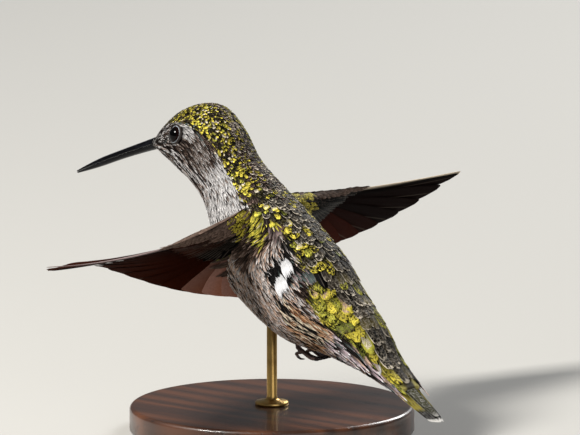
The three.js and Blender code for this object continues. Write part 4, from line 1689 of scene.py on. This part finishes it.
@dataclass
class Wing:
    """Flight feathers and coverts of one wing."""

    form: WingForm
    rng: Generator
    arcs: tuple[Arc, ...] = (
        Arc(6.6, (12, 78), 0.75, 4.4, 0.6, 0.0), Arc(6.0, (-8, 76), 0.6, 3.6, 0.4, 0.06),
        Arc(5.4, (-12, 74), 0.4, 3.2, 0.22, 0.3), Arc(4.8, (-14, 72), 0.36, 3.0, 0.2, 0.55),
        Arc(4.2, (-15, 70), 0.34, 2.8, 0.2, 0.7), Arc(3.6, (-16, 70), 0.34, 2.6, 0.2, 0.75),
        Arc(3.0, (-18, 70), 0.32, 2.4, 0.2, 0.75), Arc(2.4, (-20, 70), 0.3, 2.2, 0.19, 0.75),
        Arc(1.8, (-20, 70), 0.3, 2.0, 0.18, 0.75),
    )
    fan_span: float = -4.2  # centre of the arcs
    fan_chord: float = 2.3
    far_stretch: float = 1.6  # the right wing shows more golden coverts
    lie: float = 0.3  # radians from the span to which the upper coverts turn
    sheen: float = 0.3  # of golden coverts
    pale_edge: Pair = (1.5, 0.2)  # width and softness of the left leading edge's pale band, partly painted highlight
    cream_edge: Pair = (0.1, 0.12)  # the same of the right one's
    inner_share: Pair = (0.8, 0.94)  # of the fan, where the feathers turn rosy
    far_shade: Pair = (3.0, 6.5)  # fan places where the right wing's painted shade ends
    far_glow: Colour = (2.0, 1.5, 1.3)  # light that shines through the right wing
    warm: Colour = srgb("2e0e03")
    night: Colour = srgb("050303")
    # pale and cream colour the leading edge's band, partly painted highlight; pale also colours the
    # secondaries' painted sheen
    pale: Colour = srgb("9c8a88")
    cream: Colour = srgb("ecdcc4")
    rosy: Colour = srgb("9c6650")
    tan: Colour = srgb("7d675c")
    fawn: Colour = tuple(0.7 * c for c in srgb("7d675c"))
    drab: Colour = srgb("4b3c33")

    flight_half: Pair = (2.5, 3.0)  # half widths of the outermost and the innermost
    first_half: float = 0.8  # the first primary's, as a share
    lead: float = 0.3  # share of the vane in front of the shaft
    shaft: Pair = (0.08, 0.16)  # height and width
    scatter: Pair = (0.75, 1.25)  # of the coverts' lightness
    rows: tuple = (  # chord, end of the span and half width of the rows along the leading edge
        (2.3, 8.0, 0.36), (1.7, 11, 0.34), (1.1, 13.5, 0.32), (0.6, 15.5, 0.3), (0.1, 17, 0.28),
        (-0.2, 18, 0.24),
    )
    row_step: float = 0.5

    def _own(self, left: Any, right: Any) -> Any:
        """The value for this wing's side."""
        return left if self.form.side is Side.LEFT else right

    def flight(self, material: Material) -> list[Piece]:
        """Primaries and secondaries, each a long vane that lies over its outer neighbour."""
        groups = {
            "primaries": range(self.form.primaries),
            "secondaries": range(self.form.primaries, self.form.fan_last + 1),
        }
        pieces = []
        for name, places in groups.items():
            vane = Vane(14, 44, Outline.STRAP, thickness=0.06, crown=0, fray=0)
            plumes = Plumes(vane, self.rng, 0.3)
            for k in places:
                self._flight_feather(plumes, k)
            pieces.append(plumes.piece(f"flight_{name}_{self.form.side.word}", material))
        return pieces

    def _flight_looks(self, k: int, stock: Array, chord: Array) -> Looks:
        """Colours of the flight feather at fan place k.

        Args:
            k: the feather's place.
            stock: the stock vane's vertices.
            chord: their distances from the wing's leading edge.

        Returns:
            One feather's looks, with a colour for each vertex.
        """
        across, along, _ = stock.T
        inward = k / self.form.fan_last
        tone = lerp(self.warm, self.rosy, smooth(inward, *self.inner_share))
        tone = tone * self.rng.uniform(0.92, 1.08)
        # painted shade: flight feathers darker towards their roots, under the coverts, and on the right
        # wing over its outer feathers too
        painted_shade = 1 - smooth(along, 0.05, 0.4) if k < self.form.primaries else 0.4 - 0.4 * along
        if self.form.side is Side.RIGHT:
            painted_shade = np.maximum(painted_shade, 1 - smooth(inward * self.form.fan_last, *self.far_shade))
            tone = tone * self.far_glow
        colour = lerp(np.tile(tone, (len(along), 1)), self.night, 0.92 * painted_shade[:, None])
        if k < self.form.primaries:
            edge, soft = self._own(self.pale_edge, self.cream_edge)
            # painted shade: a dark line just behind the pale band
            line = band(chord, edge + 2 * soft, edge + 6 * soft, soft) * smooth(along, 0.05, 0.2)
            colour = lerp(colour, self.night, line[:, None])
            # the pale band along the leading edge: the outer primary's own pinkish grey, partly painted
            # highlight
            lead = 1 - smooth(chord, edge - soft, edge + soft)
        else:
            # painted sheen: a soft lilac-grey highlight on the inner secondaries, towards one border
            lead = 0.3 * smooth(-across, 0.2, 0.9) * smooth(inward, *self.inner_share)
        colour = lerp(colour, self._own(self.pale, self.cream), lead[:, None])
        return Looks(colour[None], colour[None] * 1.3, 0.05, 0.95)

    def _flight_feather(self, plumes: Plumes, k: int) -> None:
        """Adds the flight feather at fan place k."""
        span, chord, angle, length = self.form.feather(k)
        inward = k / self.form.fan_last
        half = lerp(*self.flight_half, inward) * (1.0 if k else self.first_half)
        slope = self.form.tip_slope(k)

        def where(x: Array, y: Array) -> tuple[Array, Array, Array]:
            """Span, chord and distance from the shaft."""
            share = y / length
            narrow = lerp(0.55, 1, smooth(share, 0, 0.35)) * lerp(1, 0.8, smooth(share, 0.6, 1))
            w = (x + (1 - 2 * self.lead) * half) * narrow
            y = y + slope * (w + self.lead * half) * smooth(share, 0.4, 1.0)
            aside = w + inward * share**2
            at_span = span + y * math.cos(angle) - aside * math.sin(angle)
            at_chord = chord + y * math.sin(angle) + aside * math.cos(angle)
            return at_span, np.maximum(at_chord, -0.1), w

        def place(x: Array, y: Array, z: Array) -> Array:
            """Points of the feather."""
            at_span, at_chord, w = where(x, y)
            high, wide = self.shaft
            ridge = high * np.exp(-((w / wide) ** 2)) * (1 - 0.6 * y / length)
            return self.form.point(at_span, at_chord, z - 0.1 * w + ridge)

        spot = np.array([[span + length * 0.4, chord + 0.7 * k]])
        across, along, _ = plumes.stock.T
        at_chord = where(across * half, along * length)[1]
        looks = self._flight_looks(k, plumes.stock, at_chord)
        plumes.add(place, length, half, looks, spot)

    def _over(
        self, span: Array, chord: Array, angle: Array, length: Array, sign: int, sunk: float = 0.25
    ) -> Placer:
        """How feathers that start at (span, chord) lie over the arm or under it."""
        c, s = np.cos(angle)[:, None], np.sin(angle)[:, None]
        lift = self.rng.uniform(-0.03, 0.05, len(span))[:, None]

        def place(x: Array, y: Array, z: Array) -> Array:
            """Points of the feathers."""
            at_span = span[:, None] + y * c - x * s
            at_chord = chord[:, None] + y * s + x * c
            front = smooth(at_chord, -0.45, 0.7)
            over = self.form.arm_height(at_span, at_chord, lerp(0.46, 0.2, smooth(at_span, 9, 15)) * front)
            rise = np.clip(y / length[:, None], 0, 1) ** 0.6
            level = over - lerp(sunk, 0, rise) * front + z + lift * front
            return self.form.point(at_span, at_chord, sign * np.maximum(level, 0.15 * front + z))

        return place

    def _tinted(self, tints: Array, rims: Any, sheen: Any, reach: float) -> Looks:
        """Looks with some scatter of light and dark."""
        light = self.rng.uniform(*self.scatter, (len(tints), 1))
        return Looks(tints * light, rims * light, sheen, reach)

    def _arc(self, plumes: Plumes, arc: Arc, sign: int) -> None:
        """Adds an arc of coverts, golden ones only on the upper side."""
        stretch = self._own(1.0, self.far_stretch)
        wide = math.radians(arc.angles[1] - arc.angles[0])
        count = round(arc.radius * stretch * wide / arc.spacing)
        t = (np.arange(count) + self.rng.uniform(0.1, 0.9, count)) / count
        angle = np.radians(lerp(arc.angles[0], arc.angles[1], t))
        radius = arc.radius * stretch + self.rng.uniform(-0.35, 0.35, count)
        span = self.fan_span + radius * np.cos(angle)
        chord = self.fan_chord + radius * np.sin(angle)
        golden = (self.rng.random(count) < arc.golden) & (angle < 0.95) & (sign > 0)
        # on the right wing the dull coverts get painted shade, 0.6 of the way to night; the left ones keep
        # their own colour
        dull, dull_rim = (lerp(c, self.night, self._own(0, 0.6)) for c in (self.drab, self.fawn))
        tints = np.where(golden[:, None], GOLD, dull)
        pick = self.rng.random(count)
        tints[golden & (pick < 0.3)] = GREEN
        tints[golden & (pick > 0.85)] = CREAM
        tints[~golden & (pick < 0.35) & (arc.golden > 0.2)] = OLIVE
        if sign < 0:
            tints[:] = ASH
        rims = np.where(golden[:, None], OLIVE, dull_rim)
        length = arc.length * self.rng.uniform(0.8, 1.2, count)
        half = arc.half * self.rng.uniform(0.85, 1.2, count)
        turned = lerp(angle, self.lie, 0.75 if sign > 0 else 0.0)
        angle = turned + np.radians(self.rng.normal(0, 5, count))
        looks = self._tinted(tints, rims, golden * self.sheen, 0.7)
        place = self._over(span, chord, angle, length, sign)
        plumes.add(place, length, half, looks, np.stack([span, chord], axis=1))

    def _edge_rows(self, plumes: Plumes, sign: int) -> None:
        """Adds small coverts along the leading edge, up to the hand's end."""
        for chord, end, half in self.rows:
            count = round((end + 1.5) / self.row_step)
            span = lerp(-1.5, end, (np.arange(count) + self.rng.random(count)) / count)
            at = chord + self.rng.uniform(-0.12, 0.12, count)
            angle = np.radians(self.rng.normal(6 + 4 * chord, 4, count))
            length = self.rng.uniform(1.6, 2.3, count)
            reach = self._own(3.0, 5.5)
            golden = (self.rng.random(count) < 0.8 * (1 - smooth(span, reach - 2, reach))) & (sign > 0)
            tints = np.where(golden[:, None], GOLD, self.tan)
            # coverts further back from the leading edge turn near black, partly painted shade under the
            # wrist; on the right wing from just behind its edge
            darkness = smooth(at, *self._own((1.6, 2.4), (0.0, 0.5)))
            dark = ~golden & (self.rng.random(count) < darkness)
            tints[dark] = self.night
            rims = np.where(golden[:, None], OLIVE, self.drab)
            looks = self._tinted(tints, rims, golden * self.sheen, 0.5)
            place = self._over(span, at, angle, length, sign, 0.15)
            plumes.add(place, length, half, looks, np.stack([span, at], axis=1))

    def _primary_coverts(self, plumes: Plumes, sign: int) -> None:
        """Adds the dark coverts over the roots of the primaries, two for each."""
        places = np.arange(1.5, self.form.primaries + 2, 0.5)
        span, chord, angle, _ = np.array([self.form.feather(k) for k in places]).T
        length = lerp(7.5, 4.2, places / places[-1]) * self.rng.uniform(0.92, 1.08, len(places))
        count = len(places)
        # near black towards the inner primaries, and all of them on the right wing: partly their own dark
        # colour, partly painted shade under the wrist
        dark = self._own(smooth(places, 6.5, 9), np.ones(count))
        tints = lerp(self.warm, self.night, dark[:, None])
        place = self._over(span - 0.6, chord, angle, length, sign, 0.1)
        halves = lerp(0.7, 1.0, places / places[-1])
        looks = self._tinted(tints, self.warm, 0.0, 0.85)
        plumes.add(place, length, halves, looks, np.stack([span, chord], axis=1))

    def coverts(self, upper: bool, material: Material) -> Piece:
        """The coverts over or under the arm, the front ones lying over the rear ones."""
        plumes = Plumes(Vane(4, 8, Outline.LOOSE, 0.04, 0.2, 0.05), self.rng)
        sign = 1 if upper else -1
        self._primary_coverts(plumes, sign)
        for arc in self.arcs:
            self._arc(plumes, arc, sign)
        self._edge_rows(plumes, sign)
        word = "upper" if upper else "under"
        return plumes.piece(f"coverts_{word}_{self.form.side.word}", material)


# ---- tail ----


@dataclass
class Tail:
    """Ten folded tail feathers, the middle pair on top."""

    rng: Generator
    start: float = 11.9
    tip_ahead: float = -30.9
    tip_up: float = -28.85
    pairs: int = 5
    root_half: float = 3.0
    tip_half: float = 1.3
    taper_curve: float = 3
    arch: float = 0.5
    tip_arch: float = 0.15
    round: float = 1.0
    half: float = 0.95
    middle_shorter: float = 1.2
    top: float = 0.3  # height of the middle pair over the tail's middle line
    layer: float = 0.13  # by which each pair lies lower
    tilt: float = 0.05  # of a vane towards its outer neighbour
    spacing: float = 0.74  # between the shafts, as a share of the spread
    shaft: Pair = (0.05, 0.12)  # height and width
    green: Colour = srgb("3a3a1a")
    grey: Colour = srgb("23211c")
    black: Colour = srgb("0d0d0f")
    white: Colour = srgb("e8e6e2")
    gilt: Colour = srgb("a89a40")
    black_rise: Pair = (0.7, 0.84)  # shares of the length where the black begins
    white_rise: Pair = (0.91, 0.94)  # where the white tip begins
    gilt_end: float = 0.76  # where the outer pairs' gold ends
    gilt_gap: Pair = (0.665, 0.675)  # a dark line across the gold

    def _looks(self, pair: int, stock: Array) -> Looks:
        """Bronze green in the middle; outer pairs grey with a black band and a white tip."""
        across, along, _ = stock.T
        base = lerp(self.green, self.grey, min(1.0, pair / 2))
        colour = np.tile(base * self.rng.uniform(0.85, 1.15), (len(along), 1))
        dark = smooth(along, *self.black_rise)[:, None] * (0.95 if pair else 0.4)
        tip = smooth(along + 0.03 * np.abs(across), *self.white_rise)[:, None]
        colour = lerp(lerp(colour, self.black, dark), self.white, tip * (1.0 if pair else 0.3))
        gilt = band(along + 0.04 * np.abs(across), 0.0, self.gilt_end, 0.02) * (pair > 1)
        gilt = gilt * (1 - band(along + 0.05 * across**2, *self.gilt_gap, 0.01))
        colour = lerp(colour, self.gilt, gilt[:, None] * 0.8)
        rim = lerp(colour, self.white, 0.4 - 0.3 * gilt[:, None])
        return Looks(colour[None], rim[None], 0.1 if pair else 0.5, 0.86)

    def build(self, material: Material) -> Piece:
        """Builds the tail."""
        root = BODY_FORM.centre(self.start)
        tip = from_shoulders(0, self.tip_ahead, self.tip_up)
        along = unit(tip - root)
        reach = float(np.linalg.norm(tip - root))
        dorsal = np.cross(X_AXIS, along)
        vane = Vane(12, 34, Outline.STRAP, thickness=0.05, crown=0.0, fray=0)
        plumes = Plumes(vane, self.rng, 0.3)
        for pair in reversed(range(self.pairs)):
            for sign in (-1, 1):
                out = (pair + 0.5) / self.pairs
                length = reach - self.round * out**2 - (0 if pair else self.middle_shorter)

                def place(
                    x: Array, y: Array, z: Array, sign: int = sign, out: float = out, pair: int = pair
                ) -> Array:
                    """Points of the feather."""
                    share = np.clip(y / reach, 0, 1)
                    spread = lerp(self.root_half, self.tip_half, share**self.taper_curve)
                    aside = sign * out * spread * self.spacing + x * spread / self.root_half
                    edge = np.clip(aside / spread, -1.2, 1.2)
                    arch = lerp(self.arch, self.tip_arch, share)
                    level = self.top - self.layer * pair - arch * edge**2 - sign * self.tilt * x
                    ridge = self.shaft[0] * np.exp(-((x / self.shaft[1]) ** 2))
                    return (
                        root + along * y[..., None] + X_AXIS * aside[..., None] + dorsal * (
                            level + z + ridge
                        )[..., None]
                    )

                looks = self._looks(pair, plumes.stock)
                plumes.add(place, length, self.half, looks, np.array([[sign * out, 0.0]]))
        return plumes.piece("tail_feathers", material)


# ---- feet ----


@dataclass
class Feet:
    """Small clenched feet under the belly."""

    section: float = 10.35
    around: float = 171
    tarsus: float = 0.42
    toe: float = 0.28
    claw: float = 0.2
    thin: Pair = (0.36, 0.2)  # radii of the tarsus and of a toe at their ends
    shank: Path = ((-1.0, -0.6, 0), (-0.4, 0.5, 0), (0.5, 0.95, 0))
    hind_toe: Path = ((0.4, 0.9, 0), (-0.2, 1.55, 0), (0.3, 2.0, 0))
    hind_claw: Path = ((0.15, 1.95, 0), (0.6, 2.12, 0), (1.1, 1.95, 0))
    front_toe: Path = ((0.3, 0.9, 0), (1.8, 1.35, 0.5), (2.8, 1.22, 0.76))
    front_claw: Path = ((2.65, 1.25, 0.74), (3.1, 1.1, 0.82), (3.4, 0.68, 0.85))

    def _path(self, side: Side, path: Path, spread: float = 0.0) -> Array:
        """Points of a path given as (tailward, below the belly, aside)."""
        step = 4.68  # millimetres for one section, on average
        around = side.value * math.radians(self.around)
        return np.stack(
            [
                BODY_FORM.point(self.section + back / step, around, -down) + X_AXIS * spread * aside
                for back, down, aside in path
            ]
        )

    def skin(self, side: Side, material: Material) -> Piece:
        """Tarsus and toes with low rings of scutes."""

        def ringed(radius: float, thin: float, count: int) -> Callable[[Array], Array]:
            """The radius of a toe with some scutes that gets thinner."""

            def at(t: Array) -> Array:
                """The radius at a share of the length."""
                return lerp(radius, thin, t) * (1 + 0.06 * np.sin(t * count * math.tau))

            return at

        rods = [
            rod_along(self._path(side, self.shank), ringed(self.tarsus, self.thin[0], 5), 14, 40),
            rod_along(self._path(side, self.hind_toe), ringed(self.toe, self.thin[1], 5), 12, 36),
        ]
        for spread in (-1, 0, 1):
            path = self._path(side, self.front_toe, spread)
            rods.append(rod_along(path, ringed(self.toe, self.thin[1], 8), 12, 50))
        return to_object(joined(rods), f"foot_skin_{side.word}", material)

    def claws(self, side: Side, material: Material) -> Piece:
        """Four curved claws."""

        def sharp(t: Array) -> Array:
            """The radius of a claw at a share of its length."""
            return self.claw * (1 - t) ** 0.7 + 0.03

        rods = [rod_along(self._path(side, self.hind_claw), sharp, 10, 14)]
        for spread in (-1, 0, 1):
            rods.append(rod_along(self._path(side, self.front_claw, spread), sharp, 10, 14))
        return to_object(joined(rods), f"claws_{side.word}", material)


# ---- stand ----


@dataclass
class Stand:
    """A turned hardwood disc and a thin brass rod."""

    radius: float = 22
    height: float = 4
    round: float = 0.7
    rod_radius: float = 0.8
    flange_radius: float = 2.6
    flange_height: float = 1.2
    rod_top: float = 20.5

    def _turned(self, profile: Sequence[Pair], name: str, material: Material) -> Piece:
        """Spins a profile of (radius, height) pairs, from axis to axis, once around Z."""
        bm = bmesh.new()
        verts = [bm.verts.new((r, 0, z)) for r, z in profile]
        edges = [bm.edges.new(pair) for pair in zip(verts, verts[1:])]
        bmesh.ops.spin(
            bm, geom=verts + edges, cent=(0, 0, 0), axis=(0, 0, 1), dvec=(0, 0, 0), angle=math.tau,
            steps=96, use_merge=True,
        )
        bmesh.ops.remove_doubles(bm, verts=bm.verts, dist=1e-4)
        bmesh.ops.recalc_face_normals(bm, faces=bm.faces)
        return to_object(bm, name, material)

    def base(self, material: Material) -> Piece:
        """The disc with its rounded upper edge."""
        rim = [
            (
                self.radius - self.round + self.round * math.cos(a),
                self.height - self.round + self.round * math.sin(a),
            ) for a in np.radians(np.linspace(0, 90, 9))
        ]
        foot = [(0, 0), (self.radius - 0.3, 0), (self.radius, 0.3)]
        return self._turned([*foot, *rim, (8, self.height), (0, self.height)], "base_disc", material)

    def rod(self, material: Material) -> Piece:
        """The rod with its flange."""
        low, wide = self.height, self.flange_radius
        profile = [
            (0, low), (wide, low), (wide, low + 0.45), (wide - 0.15, low + 0.6),
            (self.rod_radius + 0.5, low + 0.75), (self.rod_radius + 0.1, low + self.flange_height - 0.15),
            (self.rod_radius, low + self.flange_height + 0.2), (self.rod_radius, self.rod_top - 0.1),
            (self.rod_radius - 0.1, self.rod_top), (0, self.rod_top),
        ]
        return self._turned(profile, "rod_brass", material)


# ---- studio ----


@dataclass
class Studio:
    """Camera, pale floor and soft lights."""

    azimuth: float = 129
    elevation: float = 10
    distance: float = 1.9
    sensor: float = 36
    pixels_per_mm: float = 6.5
    image_width: int = 580
    centre_right: float = 5 / 6.5  # of the picture's middle from the shoulders, in millimetres
    centre_down: float = 2.5 / 6.5
    lamps: tuple = (  # name, metres from the bird towards the camera, right and up, watts, size, colour
        ("key", (0.36, -0.52, 0.5), 12.2, 0.2, (1.0, 0.97, 0.92)),
        ("fill", (0.8, 0.4, 0.1), 1.3, 0.6, (0.96, 0.97, 1.0)),
        ("rim", (-0.5, 0.35, 0.5), 4.0, 0.3, (1.0, 1.0, 1.0)),
    )
    sky: tuple[float, ...] = (0.86, 0.88, 0.9, 1)
    sky_strength: float = 0.13
    floor_radius: float = 6000

    def _axes(self) -> tuple[Vector, Vector, Vector]:
        """Directions towards the camera, to its right and upwards."""
        a, e = math.radians(self.azimuth), math.radians(self.elevation)
        back = Vector((math.sin(a) * math.cos(e), -math.cos(a) * math.cos(e), math.sin(e)))
        right = Vector((math.cos(a), math.sin(a), 0))
        return back, right, back.cross(right)

    def camera(self) -> None:
        """Adds the camera that frames the bird."""
        back, right, up = self._axes()
        target = Vector(SHOULDERS) + right * self.centre_right - up * self.centre_down
        data = bpy.data.cameras.new("camera")
        width = self.image_width / self.pixels_per_mm * MM
        data.sensor_width = self.sensor
        data.lens = self.sensor * self.distance / width
        made = put("camera", data)
        turn = Matrix((right, up, back)).transposed().to_4x4()
        made.matrix_world = Matrix.Translation(target * MM + back * self.distance) @ turn
        bpy.context.scene.camera = made

    def lights(self) -> None:
        """Adds square soft lights around the bird and a dim pale sky."""
        middle, axes = Vector(SHOULDERS) * MM, self._axes()
        for name, place, watts, size, colour in self.lamps:
            aim = sum((axis * far for axis, far in zip(axes, place)), Vector())
            data = bpy.data.lights.new(name, "AREA")
            data.energy, data.size, data.color = watts, size, colour
            turn = aim.to_track_quat("Z", "Y").to_matrix().to_4x4()
            put(name, data).matrix_world = Matrix.Translation(middle + aim) @ turn
        world = bpy.data.worlds.new("sky")
        world.use_nodes = True
        sky = world.node_tree.nodes["Background"]
        sky.inputs["Color"].default_value = self.sky
        sky.inputs["Strength"].default_value = self.sky_strength
        bpy.context.scene.world = world

    def floor(self, material: Material) -> None:
        """Adds the floor."""
        bm = bmesh.new()
        bmesh.ops.create_circle(bm, cap_ends=True, segments=96, radius=self.floor_radius)
        to_object(bm, "floor", material)

    def colours(self) -> None:
        """Sets how light becomes colour in the picture."""
        view = bpy.context.scene.view_settings
        view.view_transform = "Standard"
        view.look = "None"


# ---- all of it ----


def build_body() -> None:
    """Builds the skin, its coat, the eyes and the bill."""
    nodes = ["head", "neck", "trunk", "rump", "wing_left_arm", "wing_right_arm"]
    settle(Skin().build(Down().material()), "plumage_body", nodes)
    plumage = Plumage("body_plumage").material()
    silky = Plumage("tuft_plumes", clump=0.1, root_shade=0.3, root_end=0.5, mottle=0.3).material()
    for piece, slot in BodyCoat().build(plumage, silky):
        settle(piece, slot)
    eyes, wet, lid = Eyes(), Iris().material(), LidSkin("lid_edge").material()
    socket = LidSkin("lid_skin", srgb("2c2522"), srgb("120e0c")).material()
    for side in Side:
        settle(eyes.ball(side, wet), "eye", [f"eye_{side.word}"])
        settle(eyes.lid(side, lid), "eye")
        settle(eyes.socket(side, socket), "eye")
    bill, horn = Bill(), Horn("bill_horn_black", srgb("040406"), srgb("101116")).material()
    settle(bill.build(bill.upper, "mandible_upper", horn), "bill_horn", ["bill_upper"])
    settle(bill.build(bill.lower, "mandible_lower", horn), "bill_horn", ["bill_lower"])


def build_wings_and_tail() -> None:
    """Builds flight feathers, coverts and the tail."""
    flight = Plumage(
        "flight_feathers", barb_depth=0.22, slant=0.25, clump=0.06, shaft=0.03, shaft_light=0.07,
        root_shade=0.2, mottle=0.4, roughness=0.7, metal=0.3, specular=0.015,
    ).material()
    coverts = Plumage("wing_coverts", root_shade=0.5, specular=0.03).material()
    rng = np.random.default_rng(SEED + 1)
    for form in WINGS:
        wing = Wing(form, rng)
        primaries, secondaries = wing.flight(flight)
        word = form.side.word
        settle(primaries, "flight_feather", [f"wing_{word}_primaries"])
        settle(secondaries, "flight_feather", [f"wing_{word}_secondaries"])
        for upper in (True, False):
            settle(wing.coverts(upper, coverts), "plumage_body")
    settle(Tail(rng).build(flight), "tail_feather", ["tail"])


def build_feet_and_stand() -> None:
    """Builds the feet and the display stand."""
    feet, scutes = Feet(), ScalySkin().material()
    horn = Horn("claw_horn", srgb("120d0c"), srgb("3a2c28"), streaks=4000).material()
    for side in Side:
        settle(feet.skin(side, scutes), "foot_skin", [f"foot_{side.word}"])
        settle(feet.claws(side, horn), "foot_skin")
    stand = Stand()
    settle(stand.base(StainedWood().material()), "stand_wood", ["stand_base"])
    settle(stand.rod(BrushedBrass().material()), "stand_brass", ["stand_rod"])


def main() -> None:
    """Builds the studio and the model."""
    logging.basicConfig(level=logging.INFO, format="%(name)s: %(message)s")
    studio = Studio()
    studio.camera()
    studio.colours()
    studio.lights()
    studio.floor(StudioFloor().material())
    build_body()
    build_wings_and_tail()
    build_feet_and_stand()


if __name__ == "__main__":
    main()
